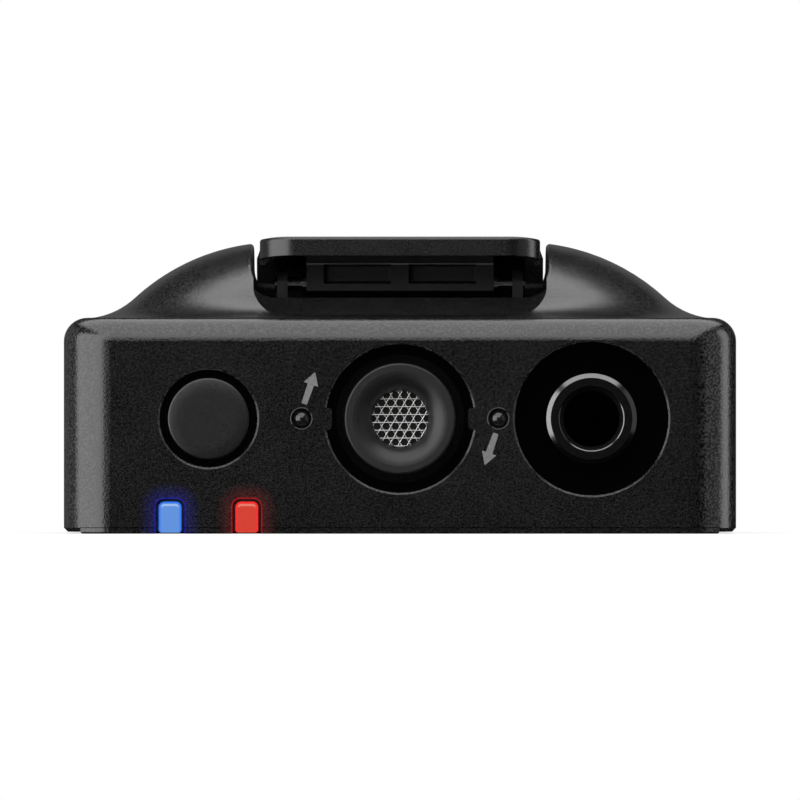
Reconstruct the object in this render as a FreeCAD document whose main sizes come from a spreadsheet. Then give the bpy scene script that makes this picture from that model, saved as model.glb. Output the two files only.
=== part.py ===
import FreeCAD, Part
import math
import os
import re
import Sketcher

# A clip-on wireless lavalier microphone, lying on its front cover with the clip upwards.
# Millimetres. +X to the right and -Y towards the end that carries the button, the microphone
# and the socket. The origin is the middle of the flat front cover.
SIZES = {
    # shell
    "body_width": 43.0,
    "body_length": 45.0,
    "body_top": 13.8,
    "body_base": 0.12,
    "corner_radius": 3.0,
    "back_edge_radius": 1.5,
    "base_edge_chamfer": 0.25,
    "side_wall": 1.5,
    "end_wall": 1.6,
    "roof": 1.5,
    # round mound on the back
    "mound_margin": 1.0,
    "mound_toe_curve": 5.0,
    "mound_crown": 7.9,
    "mound_height": 4.92,
    # channel through the mound
    "channel_width": 18.82,
    "channel_corner": 1.9,
    "channel_rise": 0.2,
    "bed_rise": 1.3,
    "bed_from_end": 8.2,
    "bed_to_end": 10.5,
    "sill_rise": 0.6,
    "sill_run": 1.5,
    "crest_radius": 0.25,
    "trench_drop": 0.3,
    "trench_side_gap": 0.12,
    "trench_end_gap": 0.3,
    "trench_slack": 0.25,
    # front cover
    "cover_margin": 1.08,
    "cover_flange": 0.36,
    "cover_inset": 0.05,
    "cover_seam": 0.04,
    "cover_lip": 0.84,
    "lip_gap": 0.1,
    "cover_edge_chamfer": 0.1,
    # row of holes in the end face
    "row_height": 7.35,
    "well_land": 2.58,
    "rim_chamfer": 0.12,
    # microphone
    "mic_well_radius": 4.75,
    "mic_well_depth": 3.2,
    "well_wall": 0.8,
    "lug_reach": 0.4,
    "lug_height": 1.4,
    "lug_depth": 0.9,
    "lug_corner": 0.25,
    "boot_radius": 3.575,
    "boot_foot_radius": 4.1,
    "boot_foot": 0.45,
    "boot_inset": 0.35,
    "boot_crest": 3.05,
    "boot_edge_radius": 0.15,
    "boot_neck_radius": 2.6,
    "funnel_radius": 1.78,
    "mesh_inset": 1.3,
    "mesh_thickness": 0.15,
    "mesh_pitch": 0.58,
    "mesh_hole_radius": 0.24,
    "capsule_radius": 2.05,
    "capsule_length": 2.2,
    "capsule_gap": 0.05,
    "stud_land": 1.54,
    "stud_radius": 0.47,
    "stud_dome": 0.35,
    "stud_length": 1.2,
    "stud_recess_radius": 0.65,
    # button and switch
    "button_radius": 2.61,
    "button_gap": 0.515,
    "button_inset": 0.05,
    "button_dome": 0.04,
    "button_edge_radius": 0.35,
    "button_catch": 0.475,
    "button_flange": 0.6,
    "button_stem_radius": 1.2,
    "button_depth": 3.4,
    "button_travel": 0.35,
    "plunger_radius": 0.8,
    "plunger_length": 0.9,
    "switch_width": 4.6,
    "switch_depth": 1.6,
    "switch_stand": 0.5,
    "carrier_width": 6.4,
    # socket
    "jack_well_radius": 4.91,
    "jack_well_depth": 4.5,
    "jack_floor": 1.0,
    "collar_radius": 2.89,
    "collar_inset": 0.6,
    "collar_chamfer": 0.19,
    "jack_bore_radius": 1.8,
    "bore_chamfer": 0.27,
    "neck_radius": 2.35,
    "neck_length": 1.5,
    "jack_width": 6.6,
    "jack_length": 13.4,
    "contact_slot": 1.2,
    "contact_strip": 0.9,
    "contact_length": 2.6,
    "contact_thickness": 0.2,
    "contact_start": 1.6,
    "contact_step": 3.6,
    "contact_reach": 0.2,
    "socket_room": 0.25,
    "socket_end_wall": 1.0,
    # lamps
    "lamp_spread": 2.45,
    "lamp_width": 1.45,
    "lamp_base": 0.07,
    "lamp_top": 2.04,
    "lamp_corner": 0.36,
    "lamp_foot_corner": 0.19,
    "lamp_slot_gap": 0.2,
    "lamp_wrap": 2.4,
    "lamp_pipe_length": 3.7,
    "lamp_pipe_base": 1.3,
    "lamp_chip_gap": 0.11,
    "lamp_chip_inset": 0.2,
    # board and what it carries
    "board_base": 2.7,
    "board_thickness": 0.8,
    "board_side_gap": 1.2,
    "board_from_end": 6.1,
    "board_to_end": 3.0,
    "tongue_from_end": 2.1,
    "tongue_gap": 0.75,
    "boss_from_side": 4.2,
    "boss_from_end": 8.2,
    "boss_to_end": 5.0,
    "boss_radius": 1.6,
    "boss_gap": 0.16,
    "board_rim": 0.2,
    "board_screw_radius": 0.65,
    "board_screw_length": 3.6,
    "screw_head_radius": 1.3,
    "screw_head_height": 0.5,
    "screw_tip_gap": 0.1,
    "thread_gap": 0.02,
    "battery_from_side": 7.0,
    "battery_side_gap": 1.34,
    "battery_from_end": 14.0,
    "battery_to_end": 5.0,
    "battery_headroom": 0.5,
    "battery_edge_radius": 1.2,
    "tape_thickness": 0.4,
    "foam_thickness": 0.8,
    "shield_gap": 1.5,
    "shield_length": 10.0,
    "shield_from_edge": 1.3,
    "shield_height": 1.6,
    "shield_wall": 0.2,
    "chip_gap": 1.0,
    "chip_side": 2.8,
    "chip_rise": 0.8,
    "antenna_length": 18.0,
    "antenna_height": 5.0,
    "antenna_thickness": 0.25,
    "seat_gap": 0.05,
    # charging contacts
    "contact_pitch": 3.2,
    "contact_pad_width": 1.9,
    "contact_pad_height": 1.5,
    "charge_width": 9.8,
    "charge_height": 2.6,
    "charge_middle": 5.9,
    "charge_inset": 0.1,
    "charge_flange": 0.8,
    "pin_reach": 0.6,
    "pin_thickness": 0.4,
    # clip
    "axle_from_end": 11.3,
    "axle_rise": 2.2,
    "axle_radius": 0.45,
    "axle_gap": 0.03,
    "press_gap": 0.01,
    "clip_front_inset": 4.2,
    "clip_rear_inset": 3.7,
    "clip_side_step": 0.2,
    "clip_rise": 5.2,
    "clip_thickness": 1.2,
    "clip_corner": 2.2,
    "clip_edge_radius": 0.2,
    "clip_bend": 1.8,
    "clip_droop": 0.2,
    "cheek_gap": 0.23,
    "cheek_thickness": 1.15,
    "cheek_wall": 0.65,
    "cheek_spread": 2.6,
    "cheek_slant": 0.5,
    "skirt_lip": 0.3,
    "skirt_run": 1.9,
    "skirt_depth": 0.6,
    "skirt_inset": 0.2,
    "jaw_side_step": 0.6,
    "jaw_length": 2.4,
    "jaw_slope": 0.72,
    "jaw_heel": 0.48,
    "jaw_setback": 0.12,
    "jaw_gap": 0.1,
    "tooth_height": 0.6,
    "tooth_pitch": 1.1,
    "tooth_face": 0.22,
    "tooth_back": 0.88,
    "tooth_gap": 0.4,
    "tooth_count": 4,
    "grip_height": 0.35,
    "grip_length": 4.6,
    "grip_side_step": 1.1,
    "grip_inset": 4.4,
    "barrel_side_gap": 1.21,
    "barrel_wall": 0.45,
    "barrel_cover": 0.42,
    "barrel_ledge": 0.5,
    "barrel_setback": 0.5,
    "rib_width": 1.1,
    "pocket_depth": 0.7,
    "pocket_sill": 0.03,
    "pocket_draft": 14,
    "trough_gap": 0.12,
    "trough_roof_gap": 0.17,
    "bracket_thickness": 0.6,
    "bracket_overhang": 0.71,
    "bracket_end_gap": 0.2,
    "knuckle_gap": 0.14,
    "knuckle_thickness": 0.68,
    "knuckle_wall": 0.5,
    "bracket_screw_spacing": 4.0,
    "bracket_screw_radius": 0.6,
    "bracket_screw_length": 2.3,
    "bracket_head_radius": 1.05,
    "bracket_head_height": 0.4,
    "bracket_boss_radius": 1.5,
    "bracket_boss_depth": 0.9,
    "ring_radius": 0.75,
    "ring_thickness": 0.2,
    # torsion springs
    "wire_radius": 0.15,
    "coil_gap": 0.08,
    "coil_pitch": 0.75,
    "coil_turns": 2,
    "wire_sides": 6,
    "coil_end_gap": 0.55,
}

doc = FreeCAD.newDocument("lavalier_microphone")
sheet = doc.addObject("Spreadsheet::Sheet", "sizes")
for row, (word, number) in enumerate(SIZES.items(), start=1):
    sheet.set(f"A{row}", word)
    sheet.set(f"B{row}", str(number))
    sheet.setAlias(f"B{row}", word)
doc.recompute()

# Places worked out from the driving sizes.
FRONT = "(-body_length / 2)"
BACK = "(body_length / 2)"
SIDE = "(body_width / 2)"
CEILING = "(body_top - roof)"
MOUND_TOE = "(min(body_width; body_length) / 2 - mound_margin)"
MOUND_TOP = "(body_top + mound_height)"
CHANNEL_FLOOR = "(body_top + channel_rise)"
BED = "(body_top + bed_rise)"
TRENCH_FLOOR = "(body_top - trench_drop)"
BOARD_TOP = "(board_base + board_thickness)"
ROW = "(mic_well_radius + well_land + jack_well_radius)"
STUD_X = "(mic_well_radius + stud_land)"
LAMP_LEFT = f"({ROW} + lamp_spread)"
LAMP_RIGHT = f"({ROW} - lamp_spread)"
BOSS_X = f"max({SIDE} - boss_from_side; {ROW} + jack_width / 2 + boss_gap + boss_radius)"
BOARD_EDGE = f"({BOSS_X} + screw_head_radius + board_rim)"
BOARD_SIDE = f"max({SIDE} - side_wall - board_side_gap; {BOARD_EDGE})"
BUTTON_HOLE = "(button_radius + button_gap)"
BUTTON_BACK = f"({FRONT} + button_depth)"
MIC_FLOOR = f"({FRONT} + mic_well_depth)"
JACK_FLOOR = f"({FRONT} + jack_well_depth)"
BOOT_TOP = f"({FRONT} + boot_inset)"
MESH_FRONT = f"({FRONT} + mesh_inset)"
CELL_BASE = f"({BOARD_TOP} + tape_thickness + seat_gap)"
CELL_TOP = f"({CEILING} - battery_headroom - foam_thickness - seat_gap)"
AXLE = f"({FRONT} + axle_from_end)"
AXLE_HEIGHT = "(body_top + axle_rise)"
CLIP_TOP = "(body_top + clip_rise)"
CLIP_UNDER = f"({CLIP_TOP} - clip_thickness)"
CHEEK_SIDE = "(channel_width / 2 - cheek_gap)"
CLIP_SIDE = f"({CHEEK_SIDE} - clip_side_step)"
JAW_SIDE = f"({CLIP_SIDE} - jaw_side_step)"
KNUCKLE_SIDE = f"({CHEEK_SIDE} - cheek_thickness - knuckle_gap)"
BARREL_SIDE = f"({KNUCKLE_SIDE} - knuckle_thickness - barrel_side_gap)"
COIL_RADIUS = "(axle_radius + coil_gap + wire_radius)"
COIL_OUTSIDE = f"({COIL_RADIUS} + wire_radius)"
TROUGH_FRONT = f"({COIL_OUTSIDE} + trough_gap)"
TROUGH_ROOF = f"({COIL_OUTSIDE} + trough_roof_gap)"
BARREL_AHEAD = f"({TROUGH_FRONT} + barrel_wall + pocket_depth)"
BARREL_BEHIND = f"({COIL_OUTSIDE} + barrel_cover)"
BARREL_FOOT = "(axle_radius + barrel_wall)"
CHEEK_RADIUS = "(axle_radius + cheek_wall)"
KNUCKLE_RADIUS = "(axle_radius + knuckle_wall)"
TRENCH_FRONT = f"({AXLE} - {BARREL_AHEAD} - trench_end_gap)"
TRENCH_BACK = f"({AXLE} + {BARREL_BEHIND} + trench_end_gap + trench_slack)"

# How far a cutting outline runs past what it cuts.
OVERCUT = "1"
# Lengths that differ by less are the same, and a feature that changes less volume does nothing.
SAME = 1e-4
NOTHING = 1e-6

parts = {}


def sized(text):
    """Point every word of an expression that is a size at its cell of the sheet."""
    return re.sub(r"[a-z][a-z_]+", lambda m: f"sizes.{m[0]}" if m[0] in SIZES else m[0], text)


def value(text):
    """The number that an expression gives now."""
    return float(sheet.evalExpression(sized(text)))


def bind(thing, **sizes):
    """Tie properties of a document object to expressions; a__b stands for a.b."""
    for name, text in sizes.items():
        thing.setExpression(name.replace("__", "."), sized(text))


def new_body(name, across="0", along="0", up="0"):
    """An empty body for one sub-part, placed by expressions."""
    body = doc.addObject("PartDesign::Body", name)
    body.Label = name
    bind(body, Placement__Base__x=across, Placement__Base__y=along, Placement__Base__z=up)
    parts[name] = body
    return body


def sketch(body, role, level="0"):
    """A sketch on one of the body's own planes, level millimetres along the plane's world axis."""
    made = body.newObject("Sketcher::SketchObject", "outline")
    plane = next(item for item in body.Origin.OriginFeatures if item.Role == role)
    made.AttachmentSupport = [(plane, "")]
    made.MapMode = "FlatFace"
    bind(made, AttachmentOffset__Base__z=f"-({level})" if role == "XZ_Plane" else level)
    return made


def pin(made, edge, end, across, up):
    """Fix one point of a sketch edge by its two distances from the sketch's origin."""
    for kind, text in (("DistanceX", across), ("DistanceY", up)):
        rule = Sketcher.Constraint(kind, -1, 1, edge, end, value(text))
        bind(made, **{f"Constraints[{made.addConstraint(rule)}]": text})


def radius_of(made, edge, radius):
    rule = Sketcher.Constraint("Radius", edge, value(radius))
    bind(made, **{f"Constraints[{made.addConstraint(rule)}]": radius})


def arc_between(start, end, radius, side):
    """The short arc from start to end whose centre lies to the left (+1) or right (-1)."""
    chord = end - start
    reach = math.sqrt(radius**2 - chord.Length**2 / 4)
    normal = FreeCAD.Vector(-chord.y, chord.x, 0).normalize()
    centre = (start + end) * 0.5 + normal * reach * side
    angles = [math.atan2(p.y - centre.y, p.x - centre.x) for p in (start, end)]
    if side < 0:
        angles.reverse()
    return Part.ArcOfCircle(Part.Circle(centre, FreeCAD.Vector(0, 0, 1), radius), *angles)


def outline(made, *corners):
    """A closed outline: (x, y) is a straight side to that corner, (x, y, radius, side) an arc."""
    points = [FreeCAD.Vector(value(c[0]), value(c[1]), 0) for c in corners]
    first = made.GeometryCount
    for i, corner in enumerate(corners):
        if len(corner) == 2:
            side = Part.LineSegment(points[i - 1], points[i])
        else:
            side = arc_between(points[i - 1], points[i], value(corner[2]), corner[3])
        made.addGeometry(side, False)
    # An arc drawn clockwise runs from its end to its start.
    ends = [(2, 1) if len(c) == 4 and c[3] < 0 else (1, 2) for c in corners]
    for i, corner in enumerate(corners):
        follower = (i + 1) % len(corners)
        rule = ("Coincident", first + i, ends[i][1], first + follower, ends[follower][0])
        made.addConstraint(Sketcher.Constraint(*rule))
        pin(made, first + i, ends[i][1], corner[0], corner[1])
        if len(corner) == 4:
            radius_of(made, first + i, corner[2])


def rectangle(made, left, low, right, high):
    outline(made, (left, low), (right, low), (right, high), (left, high))


def circle(made, across, up, radius):
    middle = FreeCAD.Vector(value(across), value(up), 0)
    round_edge = Part.Circle(middle, FreeCAD.Vector(0, 0, 1), value(radius))
    edge = made.addGeometry(round_edge, False)
    pin(made, edge, 3, across, up)
    radius_of(made, edge, radius)


def volume(body):
    doc.recompute()
    return body.Shape.Volume if body.Tip else 0.0


def extrude(body, kind, made, length, towards):
    """Pad or pocket a sketch along its world axis, towards + or -, and see that it did."""
    before = volume(body)
    feature = body.newObject(f"PartDesign::{kind}", kind.lower())
    feature.Profile = made
    bind(feature, Length=length)
    plane = made.AttachmentSupport[0][0].Role
    normal = -1 if plane == "XZ_Plane" else 1
    natural = normal if kind == "Pad" else -normal
    feature.Reversed = natural != towards
    change = volume(body) - before
    if (change > NOTHING) != (kind == "Pad") or abs(change) <= NOTHING:
        raise RuntimeError(f"{body.Label}: {kind} changes the volume by {change}")
    return feature


def grow(body, made, length, towards=1):
    return extrude(body, "Pad", made, length, towards)


def cut(body, made, length, towards=1):
    return extrude(body, "Pocket", made, length, towards)


def turn(body, made, kind="Revolution"):
    """Revolve a sketch about its own upright axis."""
    before = volume(body)
    feature = body.newObject(f"PartDesign::{kind}", kind.lower())
    feature.Profile = made
    feature.ReferenceAxis = (made, ["V_Axis"])
    feature.Angle = 360
    if (volume(body) > before) != (kind == "Revolution"):
        raise RuntimeError(f"{body.Label}: {kind} changes nothing")
    return feature


def dress(body, kind, size, chosen):
    """Fillet or chamfer the body's edges that the test picks."""
    doc.recompute()
    base = body.Tip
    edges = base.Shape.Edges
    names = [f"Edge{i}" for i, edge in enumerate(edges, start=1) if chosen(edge)]
    if not names:
        raise RuntimeError(f"{body.Label}: no edge for this {kind}")
    feature = body.newObject(f"PartDesign::{kind}", kind.lower())
    feature.Base = (base, names)
    bind(feature, **{"Radius" if kind == "Fillet" else "Size": size})
    doc.recompute()
    return feature


def near(a, b):
    return abs(a - b) < SAME


def upright(edge):
    """Straight along Z."""
    box = edge.BoundBox
    return near(box.XLength, 0) and near(box.YLength, 0)


def at_level(axis, text):
    """A test for edges that lie flat at one place along X, Y or Z."""
    place = value(text)
    low, high = f"{axis}Min", f"{axis}Max"
    return lambda e: near(getattr(e.BoundBox, low), place) and near(getattr(e.BoundBox, high), place)


def box(name, left, front, base, right, back, top):
    made = doc.addObject("Part::Box", name)
    bind(made, Length=f"({right}) - ({left})", Width=f"({back}) - ({front})")
    bind(made, Height=f"({top}) - ({base})")
    bind(made, Placement__Base__x=left, Placement__Base__y=front, Placement__Base__z=base)
    return made


TURNS = {"X": (0, 90, 0), "Y": (0, 0, -90), "Z": (0, 0, 0)}


def rod(name, axis, across, along, up, radius, length):
    """A cylinder from a point in the +X, +Y or +Z direction."""
    made = doc.addObject("Part::Cylinder", name)
    made.Placement.Rotation = FreeCAD.Rotation(*TURNS[axis])
    bind(made, Radius=radius, Height=length)
    bind(made, Placement__Base__x=across, Placement__Base__y=along, Placement__Base__z=up)
    return made


def fused(name, pieces):
    made = doc.addObject("Part::MultiFuse", name)
    made.Shapes = pieces
    return made


def carved(name, base, tool):
    made = doc.addObject("Part::Cut", name)
    made.Base = base
    made.Tool = tool
    return made


def keep(name, made):
    """Name a finished sub-part."""
    made.Label = name
    parts[name] = made
    return made


def channel_outline(made, floor):
    """The U of the clip channel: flat floor, round corners, open above the mound."""
    half = "(channel_width / 2)"
    flat = f"({half} - channel_corner)"
    top = f"({MOUND_TOP} + {OVERCUT})"
    outline(
        made,
        (f"-{half}", top),
        (f"-{half}", f"{floor} + channel_corner"),
        (f"-{flat}", floor, "channel_corner", 1),
        (flat, floor),
        (half, f"{floor} + channel_corner", "channel_corner", 1),
        (half, top),
    )


# Rear housing: one moulding with the side and end walls, the roof and the mound.
def shell(body):
    base = sketch(body, "XY_Plane", "body_base")
    rectangle(base, f"-{SIDE}", FRONT, SIDE, BACK)
    grow(body, base, "body_top - body_base")
    dress(body, "Fillet", "corner_radius", upright)
    dress(body, "Fillet", "back_edge_radius", at_level("Z", "body_top"))
    dress(body, "Chamfer", "base_edge_chamfer", at_level("Z", "body_base"))


def mound(body):
    """A bell: a hollow curve out of the back face runs tangent into a round crown."""
    drop = "(mound_toe_curve - mound_height)"
    run = f"({MOUND_TOE} - mound_crown)"
    crown = f"(({run} ^ 2 + {drop} ^ 2 - mound_toe_curve ^ 2) / (2 * (mound_toe_curve - {drop})))"
    share = f"({crown} / ({crown} + mound_toe_curve))"
    meet_out = f"mound_crown + {run} * {share}"
    meet_up = f"{MOUND_TOP} - {crown} + ({drop} + {crown}) * {share}"
    bell = sketch(body, "XZ_Plane")
    outline(
        bell,
        ("0", f"{CEILING}"),
        (MOUND_TOE, f"{CEILING}"),
        (MOUND_TOE, "body_top"),
        (meet_out, meet_up, "mound_toe_curve", -1),
        ("mound_crown", MOUND_TOP, crown, 1),
        ("0", MOUND_TOP),
    )
    turn(body, bell)


def channel(body):
    """A bed right through, a low floor at both ends, and a sill ahead of the hinge trench."""
    bed = sketch(body, "XZ_Plane", f"{FRONT} - {OVERCUT}")
    channel_outline(bed, BED)
    cut(body, bed, f"body_length + 2 * {OVERCUT}")
    dress(body, "Fillet", "crest_radius", channel_crest)
    front = sketch(body, "XZ_Plane", f"{FRONT} - {OVERCUT}")
    channel_outline(front, CHANNEL_FLOOR)
    cut(body, front, f"{TRENCH_BACK} - {FRONT} + {OVERCUT}")
    rear = sketch(body, "XZ_Plane", f"{BACK} - bed_to_end")
    channel_outline(rear, CHANNEL_FLOOR)
    cut(body, rear, f"bed_to_end + {OVERCUT}")
    sill = sketch(body, "XZ_Plane", f"{FRONT} + bed_from_end")
    sill_outline(sill)
    grow(body, sill, f"{TRENCH_FRONT} - {FRONT} - bed_from_end")
    trench = sketch(body, "XY_Plane", TRENCH_FLOOR)
    edge = f"({CHEEK_SIDE} + trench_side_gap)"
    rectangle(trench, f"-{edge}", TRENCH_FRONT, edge, TRENCH_BACK)
    cut(body, trench, "trench_drop + axle_rise + channel_corner")


def sill_outline(made):
    """A low bar from wall to wall of the channel, with ends that curve up the walls."""
    half = "(channel_width / 2)"
    flat = f"({half} - channel_corner)"
    bend = "((sill_run ^ 2 + sill_rise ^ 2) / (2 * sill_rise))"
    outline(
        made,
        (f"-{half}", f"{BED} + sill_rise", bend, -1),
        (f"-{flat}", CHANNEL_FLOOR, "channel_corner", 1),
        (flat, CHANNEL_FLOOR),
        (half, f"{BED} + sill_rise", "channel_corner", 1),
        (f"{half} - sill_run", BED, bend, -1),
        (f"sill_run - {half}", BED),
    )


def channel_crest(edge):
    """The edges where the walls of the channel break through the top of the mound."""
    bounds = edge.BoundBox
    wall = value("channel_width / 2")
    in_wall = near(bounds.XLength, 0) and near(abs(bounds.XMin), wall)
    return in_wall and bounds.ZMax > value(f"{MOUND_TOP} - mound_height / 4")


def inside(body):
    """The hollow, the tubes of the two wells and the screw bosses that hang from the roof."""
    hollow = sketch(body, "XY_Plane", "body_base")
    rectangle(
        hollow,
        f"-({SIDE} - side_wall)",
        f"{FRONT} + end_wall",
        f"{SIDE} - side_wall",
        f"{BACK} - end_wall",
    )
    cut(body, hollow, f"{CEILING} - body_base")
    middle = "end_wall / 2"
    for across, radius, depth, floor in (
        ("0", "mic_well_radius", "mic_well_depth", "well_wall"),
        (ROW, "jack_well_radius", "jack_well_depth", "jack_floor"),
    ):
        tube = sketch(body, "XZ_Plane", f"{FRONT} + {middle}")
        circle(tube, across, "row_height", f"{radius} + well_wall")
        grow(body, tube, f"{depth} + {floor} - {middle}")
    bosses = sketch(body, "XY_Plane", BOARD_TOP)
    for across in (f"-{BOSS_X}", BOSS_X):
        for along in (f"{FRONT} + boss_from_end", f"{BACK} - boss_to_end"):
            circle(bosses, across, along, "boss_radius")
    grow(body, bosses, f"{CEILING} - {BOARD_TOP} + roof / 2")
    holders = sketch(body, "XY_Plane", f"{CEILING} - bracket_boss_depth")
    for across in ("-bracket_screw_spacing", "bracket_screw_spacing"):
        circle(holders, across, AXLE, "bracket_boss_radius")
    grow(body, holders, "bracket_boss_depth + roof / 3")


def screw_holes(body):
    board = sketch(body, "XY_Plane", BOARD_TOP)
    for across in (f"-{BOSS_X}", BOSS_X):
        for along in (f"{FRONT} + boss_from_end", f"{BACK} - boss_to_end"):
            circle(board, across, along, "board_screw_radius + thread_gap")
    cut(body, board, "board_screw_length")
    bracket = sketch(body, "XY_Plane", TRENCH_FLOOR)
    for across in ("-bracket_screw_spacing", "bracket_screw_spacing"):
        circle(bracket, across, AXLE, "bracket_screw_radius + thread_gap")
    cut(body, bracket, "bracket_screw_length - bracket_thickness", -1)


def end_face(body):
    """Wells, holes and slots in the end that faces the user."""
    for across, radius, depth in (
        (f"-{ROW}", BUTTON_HOLE, f"end_wall + {OVERCUT}"),
        ("0", "mic_well_radius", "mic_well_depth"),
        (ROW, "jack_well_radius", "jack_well_depth"),
        ("0", "boot_neck_radius + seat_gap", f"mic_well_depth + well_wall + {OVERCUT}"),
        (ROW, "neck_radius + seat_gap", f"jack_well_depth + jack_floor + {OVERCUT}"),
    ):
        hole = sketch(body, "XZ_Plane", FRONT)
        circle(hole, across, "row_height", radius)
        cut(body, hole, depth)
    for radius, depth in (
        ("stud_recess_radius", "stud_dome"),
        ("stud_radius + press_gap", "stud_length"),
    ):
        studs = sketch(body, "XZ_Plane", FRONT)
        for across in (f"-{STUD_X}", STUD_X):
            circle(studs, across, "row_height", radius)
        cut(body, studs, depth)
    dress(body, "Chamfer", "rim_chamfer", front_rim)
    lugs = sketch(body, "XZ_Plane", FRONT)
    lug_outline(lugs, "", -1)
    lug_outline(lugs, "-", 1)
    grow(body, lugs, "lug_depth")
    slots = sketch(body, "XZ_Plane", FRONT)
    for lamp in (LAMP_LEFT, LAMP_RIGHT):
        half, corner = "(lamp_width / 2 + lamp_slot_gap)", "(lamp_corner + lamp_slot_gap)"
        left, right, top = f"-{lamp} - {half}", f"-{lamp} + {half}", "lamp_top + lamp_slot_gap"
        outline(
            slots,
            (left, "0"),
            (right, "0"),
            (right, f"{top} - {corner}"),
            (f"{right} - {corner}", top, corner, 1),
            (f"{left} + {corner}", top),
            (left, f"{top} - {corner}", corner, 1),
        )
    cut(body, slots, f"end_wall + {OVERCUT}")


def lug_outline(made, sign, side):
    """One bayonet lug, rooted in the wall of the microphone well, with two round corners."""
    root = f"{sign}(mic_well_radius + lug_reach / 2)"
    tip = f"{sign}(mic_well_radius - lug_reach)"
    shoulder = f"{sign}(mic_well_radius - lug_reach + lug_corner)"
    low, high = "(row_height - lug_height / 2)", "(row_height + lug_height / 2)"
    outline(
        made,
        (root, low),
        (shoulder, low),
        (tip, f"{low} + lug_corner", "lug_corner", side),
        (tip, f"{high} - lug_corner"),
        (shoulder, high, "lug_corner", side),
        (root, high),
    )


def front_rim(edge):
    """The round rims of the button hole and of the two wells."""
    rims = [value(text) for text in (BUTTON_HOLE, "mic_well_radius", "jack_well_radius")]
    turned = isinstance(edge.Curve, Part.Circle)
    return turned and at_level("Y", FRONT)(edge) and any(near(edge.Curve.Radius, r) for r in rims)


def far_end_and_rabbet(body):
    """The window of the charging contacts, and the step that the front cover lies in."""
    window = sketch(body, "XZ_Plane", f"{BACK} - end_wall - {OVERCUT}")
    half, rise = "(charge_width / 2 + seat_gap)", "(charge_height / 2 + seat_gap)"
    rectangle(window, f"-{half}", f"charge_middle - {rise}", half, f"charge_middle + {rise}")
    cut(body, window, f"end_wall + 2 * {OVERCUT}")
    step = sketch(body, "XY_Plane", "body_base")
    edge = f"({SIDE} - cover_margin + cover_seam)"
    rectangle(step, f"-{edge}", f"{FRONT} - {OVERCUT}", edge, f"{BACK} + {OVERCUT}")
    cut(body, step, "cover_flange + cover_seam - body_base")


housing = new_body("rear_housing")
shell(housing)
mound(housing)
inside(housing)
channel(housing)
screw_holes(housing)
end_face(housing)
far_end_and_rabbet(housing)


# Front cover: a thin plate with a lip that plugs into the shell, notched for the lamps.
cover = new_body("front_cover")
plate = sketch(cover, "XY_Plane")
rectangle(plate, f"-{SIDE}", f"{FRONT} + cover_inset", SIDE, f"{BACK} - cover_inset")
grow(cover, plate, "cover_flange")
dress(cover, "Fillet", "corner_radius", upright)
sides = sketch(cover, "XY_Plane")
rectangle(sides, f"-{SIDE} - {OVERCUT}", FRONT, f"cover_margin - {SIDE}", BACK)
rectangle(sides, f"{SIDE} - cover_margin", FRONT, f"{SIDE} + {OVERCUT}", BACK)
cut(cover, sides, "cover_flange")
dress(cover, "Chamfer", "cover_edge_chamfer", at_level("Z", "0"))
lip = sketch(cover, "XY_Plane", "cover_flange")
rectangle(
    lip,
    f"-({SIDE} - side_wall - lip_gap)",
    f"{FRONT} + end_wall + lip_gap",
    f"{SIDE} - side_wall - lip_gap",
    f"{BACK} - end_wall - lip_gap",
)
grow(cover, lip, "cover_lip")
notches = sketch(cover, "XY_Plane")
for lamp in (LAMP_LEFT, LAMP_RIGHT):
    half = "(lamp_width / 2 + lamp_slot_gap)"
    notch_back = f"{FRONT} + lamp_wrap + lamp_slot_gap"
    rectangle(notches, f"-{lamp} - {half}", FRONT, f"-{lamp} + {half}", notch_back)
cut(cover, notches, "cover_flange + cover_lip")


# Lamp light pipes: the window wraps round the front edge and a foot runs in under the board.
def along_y(edge):
    bounds = edge.BoundBox
    return near(bounds.XLength, 0) and near(bounds.ZLength, 0)


for name, lamp in (("lamp_lens_blue", LAMP_LEFT), ("lamp_lens_red", LAMP_RIGHT)):
    lens = new_body(name, f"-{lamp}")
    side_view = sketch(lens, "YZ_Plane", "-lamp_width / 2")
    outline(
        side_view,
        (f"{FRONT} + cover_inset", "lamp_base"),
        (f"{FRONT} + lamp_wrap", "lamp_base"),
        (f"{FRONT} + lamp_wrap", "lamp_pipe_base"),
        (f"{FRONT} + lamp_pipe_length", "lamp_pipe_base"),
        (f"{FRONT} + lamp_pipe_length", "lamp_top"),
        (f"{FRONT} + cover_inset", "lamp_top"),
    )
    grow(lens, side_view, "lamp_width")
    for level, size in (("lamp_top", "lamp_corner"), ("lamp_base", "lamp_foot_corner")):
        flat = at_level("Z", level)
        dress(lens, "Fillet", size, lambda e: along_y(e) and flat(e))

chips = [
    box(
        "lamp_chip",
        f"-{lamp} - lamp_width / 2",
        f"{FRONT} + tongue_from_end + lamp_chip_inset",
        "lamp_top + lamp_chip_gap",
        f"-{lamp} + lamp_width / 2",
        f"{FRONT} + lamp_pipe_length - lamp_chip_inset",
        "board_base",
    )
    for lamp in (LAMP_LEFT, LAMP_RIGHT)
]
keep("lamp_chips", fused("lamp_chips", chips))


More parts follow.
